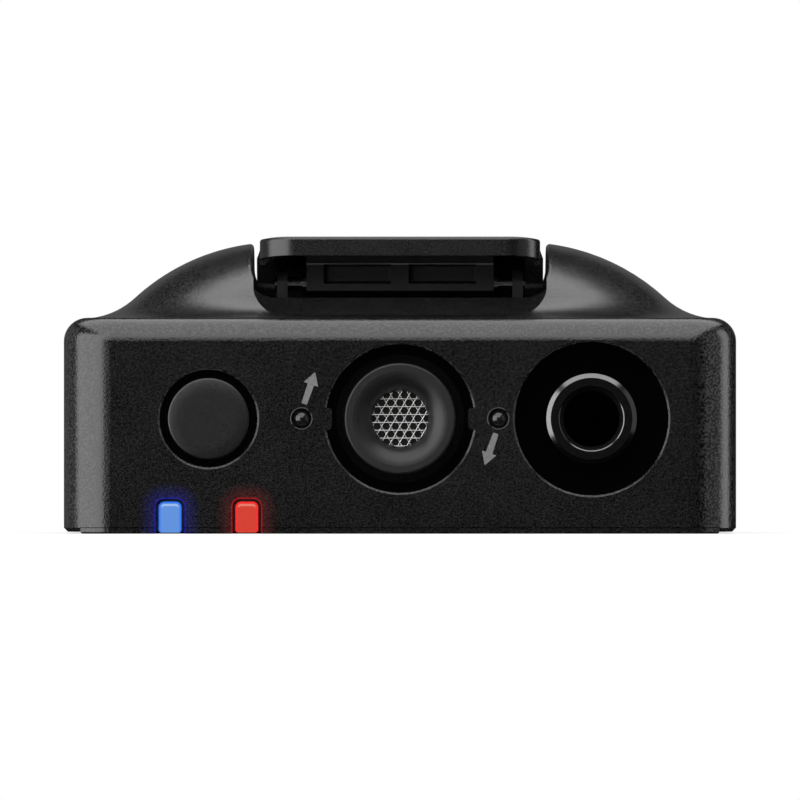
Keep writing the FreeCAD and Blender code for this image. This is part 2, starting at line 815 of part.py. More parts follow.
# Button: a domed cap with a flange behind the wall and a stem that meets the switch.
button = new_body("power_button", f"-{ROW}", "0", "row_height")
cap = sketch(button, "XY_Plane")
CAP_RIM = f"({FRONT} + button_inset + button_dome)"
dome_radius = "((button_radius ^ 2 + button_dome ^ 2) / (2 * button_dome))"
outline(
    cap,
    ("0", BUTTON_BACK),
    ("0", f"{FRONT} + button_inset"),
    ("button_radius", CAP_RIM, dome_radius, 1),
    ("button_radius", f"{FRONT} + end_wall + seat_gap"),
    (f"{BUTTON_HOLE} + button_catch", f"{FRONT} + end_wall + seat_gap"),
    (f"{BUTTON_HOLE} + button_catch", f"{FRONT} + end_wall + seat_gap + button_flange"),
    ("button_stem_radius", f"{FRONT} + end_wall + seat_gap + button_flange"),
    ("button_stem_radius", BUTTON_BACK),
)
turn(button, cap)
dress(button, "Fillet", "button_edge_radius", at_level("Y", CAP_RIM))

keep(
    "button_plunger",
    rod(
        "button_plunger",
        "Y",
        f"-{ROW}",
        BUTTON_BACK,
        "row_height",
        "plunger_radius",
        "plunger_length",
    ),
)

SWITCH_BACK = f"({BUTTON_BACK} + switch_stand + switch_depth)"
switch = new_body("button_switch", f"-{ROW}", "0", "row_height")
case = sketch(switch, "XZ_Plane", f"{BUTTON_BACK} + switch_stand")
half = "(switch_width / 2)"
rectangle(case, f"-{half}", f"-{half}", half, half)
grow(switch, case, "switch_depth")
mouth = sketch(switch, "XZ_Plane", f"{BUTTON_BACK} + switch_stand")
circle(mouth, "0", "0", "plunger_radius + seat_gap")
cut(switch, mouth, "plunger_length + button_travel + seat_gap - switch_stand")

keep(
    "button_board",
    box(
        "button_board",
        f"-{ROW} - carrier_width / 2",
        SWITCH_BACK,
        BOARD_TOP,
        f"carrier_width / 2 - {ROW}",
        f"{SWITCH_BACK} + board_thickness",
        "row_height + carrier_width / 2",
    ),
)


# Microphone: a rubber boot whose bell mouth ends on the mesh, and the capsule behind it.
boot = new_body("mic_boot", "0", "0", "row_height")
ring = sketch(boot, "XY_Plane")
mouth_run = "(boot_crest - funnel_radius)"
mouth_depth = f"({MESH_FRONT} - {BOOT_TOP})"
mouth_radius = f"(({mouth_run} ^ 2 + {mouth_depth} ^ 2) / (2 * {mouth_depth}))"
CAPSULE_BACK = f"({MESH_FRONT} + mesh_thickness + capsule_gap + capsule_length)"
outline(
    ring,
    ("capsule_radius + seat_gap", CAPSULE_BACK),
    ("capsule_radius + seat_gap", MESH_FRONT),
    ("funnel_radius", MESH_FRONT),
    ("boot_crest", BOOT_TOP, mouth_radius, 1),
    ("boot_radius - boot_edge_radius", BOOT_TOP),
    ("boot_radius", f"{BOOT_TOP} + boot_edge_radius", "boot_edge_radius", 1),
    ("boot_radius", f"{MIC_FLOOR} - boot_foot"),
    ("boot_foot_radius", f"{MIC_FLOOR} - boot_foot"),
    ("boot_foot_radius", MIC_FLOOR),
    ("boot_neck_radius", MIC_FLOOR),
    ("boot_neck_radius", CAPSULE_BACK),
)
turn(boot, ring)


def hexagon(across, along, up, radius, length):
    """A six-sided bar along Y with a flat upwards."""
    made = doc.addObject("Part::Prism", "hexagon")
    made.Polygon = 6
    made.Placement.Rotation = FreeCAD.Rotation(*TURNS["Y"])
    bind(made, Circumradius=radius, Height=length)
    bind(made, Placement__Base__x=across, Placement__Base__y=along, Placement__Base__z=up)
    return made


disc = rod("mesh_disc", "Y", "0", MESH_FRONT, "row_height", "capsule_radius", "mesh_thickness")
holes = []
RING_COUNT = 4
for row in range(-RING_COUNT, RING_COUNT + 1):
    for column in range(-RING_COUNT, RING_COUNT + 1):
        shift = column + row % 2 / 2
        rise = row * math.sqrt(3) / 2
        reach = math.hypot(shift, rise) * value("mesh_pitch") + value("mesh_hole_radius")
        if reach < value("funnel_radius"):
            across, up = f"{shift} * mesh_pitch", f"row_height + {rise:.4f} * mesh_pitch"
            start = f"{MESH_FRONT} - mesh_thickness"
            holes.append(hexagon(across, start, up, "mesh_hole_radius", "3 * mesh_thickness"))
keep("mic_mesh", carved("mic_mesh", disc, fused("mesh_holes", holes)))

capsule_front = f"{MESH_FRONT} + mesh_thickness + capsule_gap"
keep(
    "mic_capsule",
    rod("mic_capsule", "Y", "0", capsule_front, "row_height", "capsule_radius", "capsule_length"),
)

# Studs that click into the collar of a windscreen: a pin with a domed head.
for name, across in (("stud_left", f"-{STUD_X}"), ("stud_right", STUD_X)):
    stud = new_body(name, across, "0", "row_height")
    dome = sketch(stud, "XY_Plane")
    dome_radius = "((stud_radius ^ 2 + stud_dome ^ 2) / (2 * stud_dome))"
    outline(
        dome,
        ("0", f"{FRONT} + stud_length"),
        ("0", FRONT),
        ("stud_radius", f"{FRONT} + stud_dome", dome_radius, 1),
        ("stud_radius", f"{FRONT} + stud_length"),
    )
    turn(stud, dome)


# Socket: a turned metal bushing, the moulded body behind it and three contact springs.
bushing = new_body("jack_bushing", ROW, "0", "row_height")
turned = sketch(bushing, "XY_Plane")
COLLAR_TIP = f"({FRONT} + collar_inset)"
outline(
    turned,
    ("jack_bore_radius", f"{JACK_FLOOR} + neck_length"),
    ("jack_bore_radius", f"{COLLAR_TIP} + bore_chamfer"),
    ("jack_bore_radius + bore_chamfer", COLLAR_TIP),
    ("collar_radius - collar_chamfer", COLLAR_TIP),
    ("collar_radius", f"{COLLAR_TIP} + collar_chamfer"),
    ("collar_radius", JACK_FLOOR),
    ("neck_radius", JACK_FLOOR),
    ("neck_radius", f"{JACK_FLOOR} + neck_length"),
)
turn(bushing, turned)

JACK_BODY_FRONT = f"({JACK_FLOOR} + jack_floor + seat_gap)"
JACK_LOW = f"({BOARD_TOP} - row_height)"
jack = new_body("jack_body", ROW, "0", "row_height")
block = sketch(jack, "XZ_Plane", JACK_BODY_FRONT)
half = "(jack_width / 2)"
rectangle(block, f"-{half}", JACK_LOW, half, half)
grow(jack, block, "jack_length")
for radius, depth in (
    ("neck_radius + seat_gap", "neck_length - jack_floor"),
    ("jack_bore_radius + socket_room", "jack_length - socket_end_wall"),
):
    bore = sketch(jack, "XZ_Plane", JACK_BODY_FRONT)
    circle(bore, "0", "0", radius)
    cut(jack, bore, depth)


def span(sign, inner, outer):
    """Two distances from the socket's axis, as left and right on the side of sign."""
    return (inner, outer) if sign > 0 else (f"-{outer}", f"-{inner}")


strips = []
near_side = "(jack_bore_radius + seat_gap)"
far_side = "(jack_width / 2)"
low, high = "row_height - contact_strip / 2", "row_height + contact_strip / 2"
for i, sign in enumerate((-1, 1, -1)):
    along = f"({JACK_BODY_FRONT} + contact_start + {i} * contact_step)"
    slot = sketch(jack, "XY_Plane", "-contact_slot / 2")
    left, right = span(sign, "(jack_bore_radius - contact_reach)", f"({half} + contact_reach)")
    rectangle(slot, left, along, right, f"{along} + contact_length + 2 * seat_gap")
    cut(jack, slot, "contact_slot")
    start = f"{along} + seat_gap"
    for inner, length in (
        (near_side, "contact_thickness"),
        (f"({far_side} - contact_thickness)", "contact_length"),
    ):
        left, right = span(sign, inner, far_side)
        back = f"{start} + {length}"
        strips.append(box("strip", f"{ROW} + {left}", start, low, f"{ROW} + {right}", back, high))
keep("jack_contacts", fused("jack_contacts", strips))


# Main board: its tongue reaches forward under the button and over the lamps.
board = new_body("main_board")
panel = sketch(board, "XY_Plane", "board_base")
tongue_edge = "-(mic_well_radius + well_wall + tongue_gap)"
outline(
    panel,
    (f"-{BOARD_SIDE}", f"{FRONT} + tongue_from_end"),
    (tongue_edge, f"{FRONT} + tongue_from_end"),
    (tongue_edge, f"{FRONT} + board_from_end"),
    (BOARD_SIDE, f"{FRONT} + board_from_end"),
    (BOARD_SIDE, f"{BACK} - board_to_end"),
    (f"-{BOARD_SIDE}", f"{BACK} - board_to_end"),
)
grow(board, panel, "board_thickness")
drilled = sketch(board, "XY_Plane", "board_base")
screws = []
for across in (f"-{BOSS_X}", BOSS_X):
    for along in (f"{FRONT} + boss_from_end", f"{BACK} - boss_to_end"):
        circle(drilled, across, along, "board_screw_radius + seat_gap")
        for base, radius, length in (
            ("board_base - screw_head_height", "screw_head_radius", "screw_head_height"),
            ("board_base", "board_screw_radius", "board_thickness + board_screw_length - screw_tip_gap"),
        ):
            screws.append(rod("screw", "Z", across, along, base, radius, length))
cut(board, drilled, "board_thickness")
keep("board_screws", fused("board_screws", screws))

# Cell on its tape, with the foam above it.
CELL_FRONT = f"({FRONT} + battery_from_end)"
CELL_BACK = f"({BACK} - battery_to_end)"
CELL_LEFT = f"(battery_from_side - {SIDE})"
CELL_RIGHT = f"({ROW} - jack_width / 2 - battery_side_gap)"
cell = new_body("battery")
pouch = sketch(cell, "XY_Plane", CELL_BASE)
rectangle(pouch, CELL_LEFT, CELL_FRONT, CELL_RIGHT, CELL_BACK)
grow(cell, pouch, f"{CELL_TOP} - {CELL_BASE}")
dress(cell, "Fillet", "battery_edge_radius", along_y)
inset = "battery_edge_radius"
for name, base, thickness in (
    ("battery_tape", BOARD_TOP, "tape_thickness"),
    ("battery_foam", f"{CELL_TOP} + seat_gap", "foam_thickness"),
):
    keep(
        name,
        box(
            name,
            f"{CELL_LEFT} + {inset}",
            f"{CELL_FRONT} + {inset}",
            base,
            f"{CELL_RIGHT} - {inset}",
            f"{CELL_BACK} - {inset}",
            f"{base} + {thickness}",
        ),
    )

# Radio can and chips, right of the cell.
can_left = f"({CELL_RIGHT} + shield_gap)"
can_right = f"({BOARD_SIDE} - shield_from_edge)"
can_front = f"({JACK_BODY_FRONT} + jack_length + shield_gap)"
outer = box(
    "can_outer",
    can_left,
    can_front,
    BOARD_TOP,
    can_right,
    f"{can_front} + shield_length",
    f"{BOARD_TOP} + shield_height",
)
inner = box(
    "can_inner",
    f"{can_left} + shield_wall",
    f"{can_front} + shield_wall",
    f"{BOARD_TOP} - {OVERCUT}",
    f"{can_right} - shield_wall",
    f"{can_front} + shield_length - shield_wall",
    f"{BOARD_TOP} + shield_height - shield_wall",
)
keep("radio_shield", carved("radio_shield", outer, inner))
chip_front = f"{can_front} + shield_length + chip_gap"
chips = [
    box(
        "board_chip",
        left,
        chip_front,
        BOARD_TOP,
        f"{left} + chip_side",
        f"{chip_front} + chip_side",
        f"{BOARD_TOP} + chip_rise",
    )
    for left in (can_left, f"({can_left} + chip_side + chip_gap)")
]
keep("board_chips", fused("board_chips", chips))
antenna_left = f"(-{SIDE} + side_wall + seat_gap)"
keep(
    "antenna",
    box(
        "antenna",
        antenna_left,
        "-antenna_length / 2",
        "row_height - antenna_height / 2",
        f"{antenna_left} + antenna_thickness",
        "antenna_length / 2",
        "row_height + antenna_height / 2",
    ),
)


# Charging contacts: a block in the far end wall with three gold pads and their pins.
charge = new_body("charge_block")
face = sketch(charge, "XZ_Plane", f"{BACK} - end_wall - charge_flange")
half, rise = "(charge_width / 2 + charge_flange)", "(charge_height / 2 + charge_flange)"
rectangle(face, f"-{half}", f"charge_middle - {rise}", half, f"charge_middle + {rise}")
grow(charge, face, "charge_flange - seat_gap")
plug = sketch(charge, "XZ_Plane", f"{BACK} - end_wall - charge_flange")
half, rise = "(charge_width / 2)", "(charge_height / 2)"
rectangle(plug, f"-{half}", f"charge_middle - {rise}", half, f"charge_middle + {rise}")
grow(charge, plug, "charge_flange + end_wall - charge_inset")
pins = []
openings = sketch(charge, "XZ_Plane", f"{BACK} - end_wall - charge_flange")
for i in (-1, 0, 1):
    middle = f"({i} * contact_pitch)"
    half, rise = "(contact_pad_width / 2)", "(contact_pad_height / 2)"
    gap = "press_gap"
    rectangle(
        openings,
        f"{middle} - {half} - {gap}",
        f"charge_middle - {rise} - {gap}",
        f"{middle} + {half} + {gap}",
        f"charge_middle + {rise} + {gap}",
    )
    pins.append(
        box(
            "contact_pad",
            f"{middle} - {half}",
            f"{BACK} - end_wall - charge_flange - pin_reach",
            f"charge_middle - {rise}",
            f"{middle} + {half}",
            f"{BACK} - charge_inset / 2",
            f"charge_middle + {rise}",
        )
    )
    pins.append(
        box(
            "contact_tail",
            f"{middle} - {half} / 2",
            f"{BACK} - end_wall - charge_flange - pin_reach",
            BOARD_TOP,
            f"{middle} + {half} / 2",
            f"{BACK} - end_wall - charge_flange - pin_reach + pin_thickness",
            "charge_middle",
        )
    )
cut(charge, openings, "charge_flange + end_wall")
keep("charge_contacts", fused("charge_contacts", pins))


# Hinge bracket: a base plate in the trench with two round lugs, held by two screws.
BRACKET_TOP = f"({TRENCH_FLOOR} + bracket_thickness)"
bracket = new_body("hinge_bracket")
foot = sketch(bracket, "XY_Plane", TRENCH_FLOOR)
half = f"({KNUCKLE_SIDE} + bracket_overhang)"
rectangle(foot, f"-{half}", f"{TRENCH_FRONT} + bracket_end_gap", half, f"{TRENCH_BACK} - bracket_end_gap")
grow(bracket, foot, "bracket_thickness")
for left in (f"({KNUCKLE_SIDE} - knuckle_thickness)", f"-{KNUCKLE_SIDE}"):
    post = sketch(bracket, "YZ_Plane", left)
    post_front, post_back = f"{AXLE} - {KNUCKLE_RADIUS}", f"{AXLE} + {KNUCKLE_RADIUS}"
    rectangle(post, post_front, TRENCH_FLOOR, post_back, AXLE_HEIGHT)
    grow(bracket, post, "knuckle_thickness")
    eye = sketch(bracket, "YZ_Plane", left)
    circle(eye, AXLE, AXLE_HEIGHT, KNUCKLE_RADIUS)
    grow(bracket, eye, "knuckle_thickness")
bore = sketch(bracket, "YZ_Plane", f"-{half}")
circle(bore, AXLE, AXLE_HEIGHT, "axle_radius + press_gap")
cut(bracket, bore, f"2 * {half}")
seats = sketch(bracket, "XY_Plane", TRENCH_FLOOR)
screws = []
for across in ("-bracket_screw_spacing", "bracket_screw_spacing"):
    circle(seats, across, AXLE, "bracket_screw_radius + seat_gap")
    shank = "(bracket_screw_length - screw_tip_gap)"
    for base, radius, length in (
        (BRACKET_TOP, "bracket_head_radius", "bracket_head_height"),
        (f"{BRACKET_TOP} - {shank}", "bracket_screw_radius", shank),
    ):
        screws.append(rod("screw", "Z", across, AXLE, base, radius, length))
cut(bracket, seats, "bracket_thickness")
keep("bracket_screws", fused("bracket_screws", screws))

# Axle, with a retaining ring pressed on at each side of the barrel block.
pin_and_rings = [
    rod("axle", "X", left, AXLE, AXLE_HEIGHT, radius, length)
    for left, radius, length in (
        (f"-{CHEEK_SIDE}", "axle_radius", f"2 * {CHEEK_SIDE}"),
        (f"{BARREL_SIDE} + seat_gap", "ring_radius", "ring_thickness"),
        (f"-{BARREL_SIDE} - seat_gap - ring_thickness", "ring_radius", "ring_thickness"),
    )
]
keep("clip_axle", fused("clip_axle", pin_and_rings))


# Clip lever: a plate with two cheeks on the axle, a skirt along each side, teeth and a jaw.
CLIP_FRONT = f"({FRONT} + clip_front_inset)"
CLIP_BACK = f"({BACK} - clip_rear_inset)"
FLOOR_GRIP = f"({CHANNEL_FLOOR} + grip_height)"


def top_rim(edge):
    """The outline of the plate's upper face."""
    bounds = edge.BoundBox
    in_face = near(bounds.YLength, value(f"{CLIP_BACK} - {CLIP_FRONT}")) and bounds.XMin > -value(bend)
    return bounds.ZMin > value(f"{CLIP_TOP} - clip_thickness / 2") and not in_face


lever = new_body("clip_lever")
plate = sketch(lever, "XZ_Plane", CLIP_FRONT)
bend = f"({CLIP_SIDE} - clip_bend)"
bend_radius = "((clip_bend ^ 2 + clip_droop ^ 2) / (2 * clip_droop))"
outline(
    plate,
    (f"-{CLIP_SIDE}", f"{CLIP_UNDER} - clip_droop"),
    (f"-{bend}", CLIP_UNDER, bend_radius, -1),
    (bend, CLIP_UNDER),
    (CLIP_SIDE, f"{CLIP_UNDER} - clip_droop", bend_radius, -1),
    (CLIP_SIDE, f"{CLIP_TOP} - clip_droop"),
    (bend, CLIP_TOP, bend_radius, 1),
    (f"-{bend}", CLIP_TOP),
    (f"-{CLIP_SIDE}", f"{CLIP_TOP} - clip_droop", bend_radius, 1),
)
grow(lever, plate, f"{CLIP_BACK} - {CLIP_FRONT}")
dress(lever, "Fillet", "clip_corner", upright)
dress(lever, "Fillet", "clip_edge_radius", top_rim)
for left in (f"-{CHEEK_SIDE}", f"{CHEEK_SIDE} - cheek_thickness"):
    web = sketch(lever, "YZ_Plane", left)
    outline(
        web,
        (f"{AXLE} - {CHEEK_RADIUS}", AXLE_HEIGHT),
        (f"{AXLE} + {CHEEK_RADIUS}", AXLE_HEIGHT),
        (f"{AXLE} + cheek_spread", f"{CLIP_UNDER} + clip_thickness / 4"),
        (f"{AXLE} - cheek_spread", f"{CLIP_UNDER} + clip_thickness / 4"),
    )
    grow(lever, web, "cheek_thickness")
    eye = sketch(lever, "YZ_Plane", left)
    circle(eye, AXLE, AXLE_HEIGHT, CHEEK_RADIUS)
    grow(lever, eye, "cheek_thickness")
skirts = sketch(lever, "XZ_Plane", f"{CLIP_FRONT} + clip_corner + skirt_inset")
sweep = "(skirt_run - skirt_lip)"
sweep_radius = f"(({sweep} ^ 2 + skirt_depth ^ 2) / (2 * skirt_depth))"
for side, turning in (("-", -1), ("", 1)):
    outline(
        skirts,
        (f"{side}{CLIP_SIDE}", f"{CLIP_UNDER} + clip_thickness / 4"),
        (f"{side}{CLIP_SIDE}", f"{CLIP_UNDER} - skirt_depth"),
        (f"{side}({CLIP_SIDE} - skirt_lip)", f"{CLIP_UNDER} - skirt_depth"),
        (f"{side}({CLIP_SIDE} - skirt_run)", CLIP_UNDER, sweep_radius, turning),
        (f"{side}({CLIP_SIDE} - skirt_run)", f"{CLIP_UNDER} + clip_thickness / 4"),
    )
grow(lever, skirts, f"{CLIP_BACK} - {CLIP_FRONT} - 2 * (clip_corner + skirt_inset)")
for side in ("", "-"):
    slant = sketch(lever, "XZ_Plane", f"{AXLE} - cheek_spread - {OVERCUT}")
    ledge = f"({CLIP_UNDER} + clip_thickness / 4)"
    outline(
        slant,
        (f"{side}{CLIP_SIDE}", f"{ledge} + seat_gap"),
        (f"{side}{CHEEK_SIDE}", f"{ledge} - cheek_slant"),
        (f"{side}({CHEEK_SIDE} + {OVERCUT})", f"{ledge} - cheek_slant"),
        (f"{side}({CHEEK_SIDE} + {OVERCUT})", f"{ledge} + seat_gap"),
    )
    cut(lever, slant, f"2 * (cheek_spread + {OVERCUT})")
jaw = sketch(lever, "YZ_Plane", f"-{JAW_SIDE}")
outline(
    jaw,
    (f"{CLIP_BACK} - jaw_length", f"{CLIP_UNDER} + clip_thickness / 4"),
    (f"{CLIP_BACK} - jaw_length + jaw_slope", f"{FLOOR_GRIP} + jaw_gap"),
    (f"{CLIP_BACK} - jaw_heel", f"{FLOOR_GRIP} + jaw_gap"),
    (f"{CLIP_BACK} - jaw_setback", f"{CLIP_UNDER}"),
    (f"{CLIP_BACK} - jaw_setback", f"{CLIP_UNDER} + clip_thickness / 4"),
)
grow(lever, jaw, f"2 * {JAW_SIDE}")
tooth = sketch(lever, "YZ_Plane", f"-{JAW_SIDE}")
first_tooth = f"({CLIP_BACK} - jaw_length - tooth_gap)"
outline(
    tooth,
    (first_tooth, CLIP_UNDER),
    (f"{first_tooth} - tooth_face", f"{CLIP_UNDER} - tooth_height"),
    (f"{first_tooth} - tooth_back", CLIP_UNDER),
)
tooth_pad = grow(lever, tooth, f"2 * {JAW_SIDE}")
teeth = lever.newObject("PartDesign::LinearPattern", "teeth")
teeth.Originals = [tooth_pad]
teeth.Direction = (tooth, ["H_Axis"])
teeth.Reversed = True
bind(teeth, Length="tooth_pitch * (tooth_count - 1)", Occurrences="tooth_count")
lever.Tip = teeth
bore = sketch(lever, "YZ_Plane", f"-{CHEEK_SIDE} - {OVERCUT}")
circle(bore, AXLE, AXLE_HEIGHT, "axle_radius + axle_gap")
cut(lever, bore, f"2 * ({CHEEK_SIDE} + {OVERCUT})")


# Barrel block under the plate: three ribs on the axle, two pockets ahead, two troughs behind.
barrel = new_body("clip_barrel")
block = sketch(barrel, "YZ_Plane", f"-{BARREL_SIDE}")
BARREL_FRONT = f"({AXLE} - {BARREL_AHEAD})"
BARREL_BACK = f"({AXLE} + {BARREL_BEHIND})"
BARREL_LOW = f"({AXLE_HEIGHT} - {BARREL_FOOT})"
outline(
    block,
    (f"{BARREL_FRONT} + barrel_setback", CLIP_UNDER),
    (f"{BARREL_FRONT} + barrel_setback", f"{CLIP_UNDER} - barrel_ledge"),
    (BARREL_FRONT, f"{CLIP_UNDER} - barrel_ledge"),
    (BARREL_FRONT, f"{BARREL_LOW} + {BARREL_FOOT} / 2"),
    (f"{BARREL_FRONT} + {BARREL_FOOT}", BARREL_LOW),
    (f"{BARREL_BACK} - {BARREL_FOOT} / 2", BARREL_LOW),
    (BARREL_BACK, f"{BARREL_LOW} + {BARREL_FOOT} / 2"),
    (BARREL_BACK, CLIP_UNDER),
)
grow(barrel, block, f"2 * {BARREL_SIDE}")
windows = sketch(barrel, "XZ_Plane", BARREL_FRONT)
top = f"{CLIP_UNDER} - barrel_ledge - pocket_sill"
rectangle(windows, f"rib_width - {BARREL_SIDE}", AXLE_HEIGHT, "-rib_width / 2", top)
rectangle(windows, "rib_width / 2", AXLE_HEIGHT, f"{BARREL_SIDE} - rib_width", top)
pockets = cut(barrel, windows, "pocket_depth")
bind(pockets, TaperAngle="-pocket_draft * 1 deg")
troughs = sketch(barrel, "XY_Plane", f"{BARREL_LOW} - {OVERCUT}")
front, back = f"{AXLE} - {TROUGH_FRONT}", f"{BARREL_BACK} + {OVERCUT}"
rectangle(troughs, f"rib_width - {BARREL_SIDE}", front, "-rib_width / 2", back)
rectangle(troughs, "rib_width / 2", front, f"{BARREL_SIDE} - rib_width", back)
cut(barrel, troughs, f"{BARREL_FOOT} + {TROUGH_ROOF} + {OVERCUT}")
bore = sketch(barrel, "YZ_Plane", f"-{BARREL_SIDE} - {OVERCUT}")
circle(bore, AXLE, AXLE_HEIGHT, "axle_radius + axle_gap")
cut(barrel, bore, f"2 * ({BARREL_SIDE} + {OVERCUT})")


# Rubber grip under the jaw.
grip = new_body("clip_pad")
sheet_of_rubber = sketch(grip, "XY_Plane", CHANNEL_FLOOR)
half = f"({JAW_SIDE} - grip_side_step)"
grip_back = f"({BACK} - grip_inset)"
rectangle(sheet_of_rubber, f"-{half}", f"{grip_back} - grip_length", half, grip_back)
grow(grip, sheet_of_rubber, "grip_height")


def torsion_spring(start, towards):
    """A coil round the axle with one leg down to the bracket and one up to the barrel block."""
    radius, pitch = value(COIL_RADIUS), value("coil_pitch")
    turns = value("coil_turns")
    middle = FreeCAD.Vector(0, value(AXLE), value(AXLE_HEIGHT))
    steps = 4

    def place(quarter):
        angle = math.pi + quarter * 2 * math.pi / steps
        along = start + towards * pitch * quarter / steps
        return middle + FreeCAD.Vector(along, radius * math.cos(angle), -radius * math.sin(angle))

    helix = []
    for quarter in range(int(turns * steps)):
        points = [place(quarter + share) for share in (0, 0.5, 1)]
        helix.append(Part.Arc(*points).toShape())
    low, high = place(0), place(turns * steps)
    leg_down = FreeCAD.Vector(low.x, low.y, value(BRACKET_TOP) + value("seat_gap"))
    leg_up = FreeCAD.Vector(high.x, high.y, value(f"{AXLE_HEIGHT} + {TROUGH_ROOF} - seat_gap"))
    path = Part.Wire(
        [Part.makeLine(leg_down, low), *helix, Part.makeLine(high, leg_up)]
    )
    sides = int(value("wire_sides"))
    spokes = [2 * math.pi * i / sides for i in range(sides)]
    corners = [FreeCAD.Vector(math.cos(a), math.sin(a), 0) * value("wire_radius") for a in spokes]
    section = Part.makePolygon([leg_down + corner for corner in corners + corners[:1]])
    gap = pitch - 2 * value("wire_radius")
    print(f"spring: {turns:g} turns, least gap between turns {gap:.2f} mm")
    return path.makePipeShell([section], True, False)


for name, towards in (("clip_spring_left", -1), ("clip_spring_right", 1)):
    spring = doc.addObject("Part::Feature", name)
    spring.Shape = torsion_spring(towards * value("rib_width / 2 + coil_end_gap"), towards)
    keep(name, spring)


doc.recompute()
for item in doc.Objects:
    if any(word in ("Invalid", "Error") for word in item.State):
        raise RuntimeError(f"{item.Label} is {item.State}")
for name, item in parts.items():
    if item.Shape.isNull() or not item.Shape.isValid():
        raise RuntimeError(f"{name} has no valid shape")

os.makedirs("parts", exist_ok=True)
for name, item in parts.items():
    item.Shape.exportStep(f"parts/{name}.step")
    print(f"{name}: {len(item.Shape.Solids)} solids, {item.Shape.Volume:.2f} mm3")
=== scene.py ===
import math

import bmesh
import bpy
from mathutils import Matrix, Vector


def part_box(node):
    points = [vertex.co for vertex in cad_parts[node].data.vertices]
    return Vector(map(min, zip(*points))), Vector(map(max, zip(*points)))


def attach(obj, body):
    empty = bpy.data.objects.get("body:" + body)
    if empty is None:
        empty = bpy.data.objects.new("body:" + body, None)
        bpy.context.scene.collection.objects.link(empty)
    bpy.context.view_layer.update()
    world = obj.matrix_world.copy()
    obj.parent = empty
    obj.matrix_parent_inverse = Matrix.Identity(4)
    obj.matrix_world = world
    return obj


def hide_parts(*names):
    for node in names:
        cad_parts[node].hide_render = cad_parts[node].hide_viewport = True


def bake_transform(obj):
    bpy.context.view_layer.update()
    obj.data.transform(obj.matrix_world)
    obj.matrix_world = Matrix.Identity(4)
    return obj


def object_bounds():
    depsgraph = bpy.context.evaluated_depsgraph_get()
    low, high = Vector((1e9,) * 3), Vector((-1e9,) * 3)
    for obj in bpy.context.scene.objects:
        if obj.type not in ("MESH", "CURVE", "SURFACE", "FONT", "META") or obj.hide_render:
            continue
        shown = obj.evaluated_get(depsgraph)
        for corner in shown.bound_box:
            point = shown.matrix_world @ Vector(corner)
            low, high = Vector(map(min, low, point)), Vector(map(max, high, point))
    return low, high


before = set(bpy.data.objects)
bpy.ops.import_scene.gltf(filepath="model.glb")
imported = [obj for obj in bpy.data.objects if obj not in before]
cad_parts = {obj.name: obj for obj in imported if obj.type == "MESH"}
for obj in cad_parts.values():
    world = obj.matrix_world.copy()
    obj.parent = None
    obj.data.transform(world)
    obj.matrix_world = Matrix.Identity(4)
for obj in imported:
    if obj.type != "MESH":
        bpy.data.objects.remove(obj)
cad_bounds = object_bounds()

# Camera. The photograph looks straight at the end face through a very long lens. Blender works
# in metres, and MM turns millimetres into them.
MM = 0.001
PICTURE_WIDTH = 51.1 * MM
PICTURE_MIDDLE = 8.54 * MM
SENSOR = 36.0
LENS = 1600.0
end_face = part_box("rear_housing")[0].y
camera = bpy.data.objects.new("camera", bpy.data.cameras.new("camera"))
bpy.context.scene.collection.objects.link(camera)
bpy.context.scene.camera = camera
camera.data.sensor_width = SENSOR
camera.data.lens = LENS
camera.data.clip_end = 10.0
camera.location = (0.0, end_face - PICTURE_WIDTH * LENS / SENSOR, PICTURE_MIDDLE)
camera.rotation_euler = (math.radians(90), 0.0, 0.0)
bpy.context.scene.view_settings.view_transform = "Standard"


# Studio. A pale floor in a white surround, soft boxes on the left, above and on the right, and
# a tent of black cloth that only reflections show, so that the black plastic stays black.
class Signal:
    """A socket of a node tree. Arithmetic on it adds Math nodes."""

    def __init__(self, tree, socket=None):
        self.tree = tree
        self.socket = socket

    def node(self, kind, settings, sockets, output=0):
        """Add a node, make its settings, then give its sockets their values or links."""
        made = self.tree.nodes.new("ShaderNode" + kind)
        for name, setting in settings.items():
            setattr(made, name, setting)
        for name, given in sockets.items():
            if isinstance(given, Signal):
                self.tree.links.new(given.socket, made.inputs[name])
            else:
                made.inputs[name].default_value = given
        return Signal(self.tree, made.outputs[output]) if made.outputs else None

    def outputs(self, *names):
        """Other outputs of this socket's node, by their names."""
        return [Signal(self.tree, self.socket.node.outputs[name]) for name in names]

    def math(self, operation, *values):
        """Add a Math node, with this socket as its first value."""
        return self.node("Math", {"operation": operation}, dict(enumerate((self, *values))))

    def mix(self, first, second, blend="MIX"):
        """From the first colour at 0 to the second at 1. A Mix node's colours are sockets 6 and 7."""
        settings = {"data_type": "RGBA", "blend_type": blend}
        return self.node("Mix", settings, {"Factor": self, 6: first, 7: second}, 2)

    def __add__(self, other):
        return self.math("ADD", other)

    def __mul__(self, other):
        return self.math("MULTIPLY", other)

    def __sub__(self, other):
        return self.math("SUBTRACT", other)

    def __rsub__(self, other):
        return (self * -1.0).math("ADD", other)

    __radd__ = __add__
    __rmul__ = __mul__


def new_finish(name):
    """A material with an empty node tree, the start of that tree and its Object coordinates."""
    material = bpy.data.materials.new(name)
    material.use_nodes = True
    material.node_tree.nodes.clear()
    start = Signal(material.node_tree)
    return material, start, start.node("TexCoord", {}, {}, "Object")


def eye_or_mirror(start):
    """1 for the rays that see the white surround: camera, glossy and transmission rays."""
    kinds = ("Is Camera Ray", "Is Glossy Ray", "Is Transmission Ray")
    direct, mirrored, passed = start.node("LightPath", {}, {}).outputs(*kinds)
    return direct.math("MAXIMUM", mirrored).math("MAXIMUM", passed)


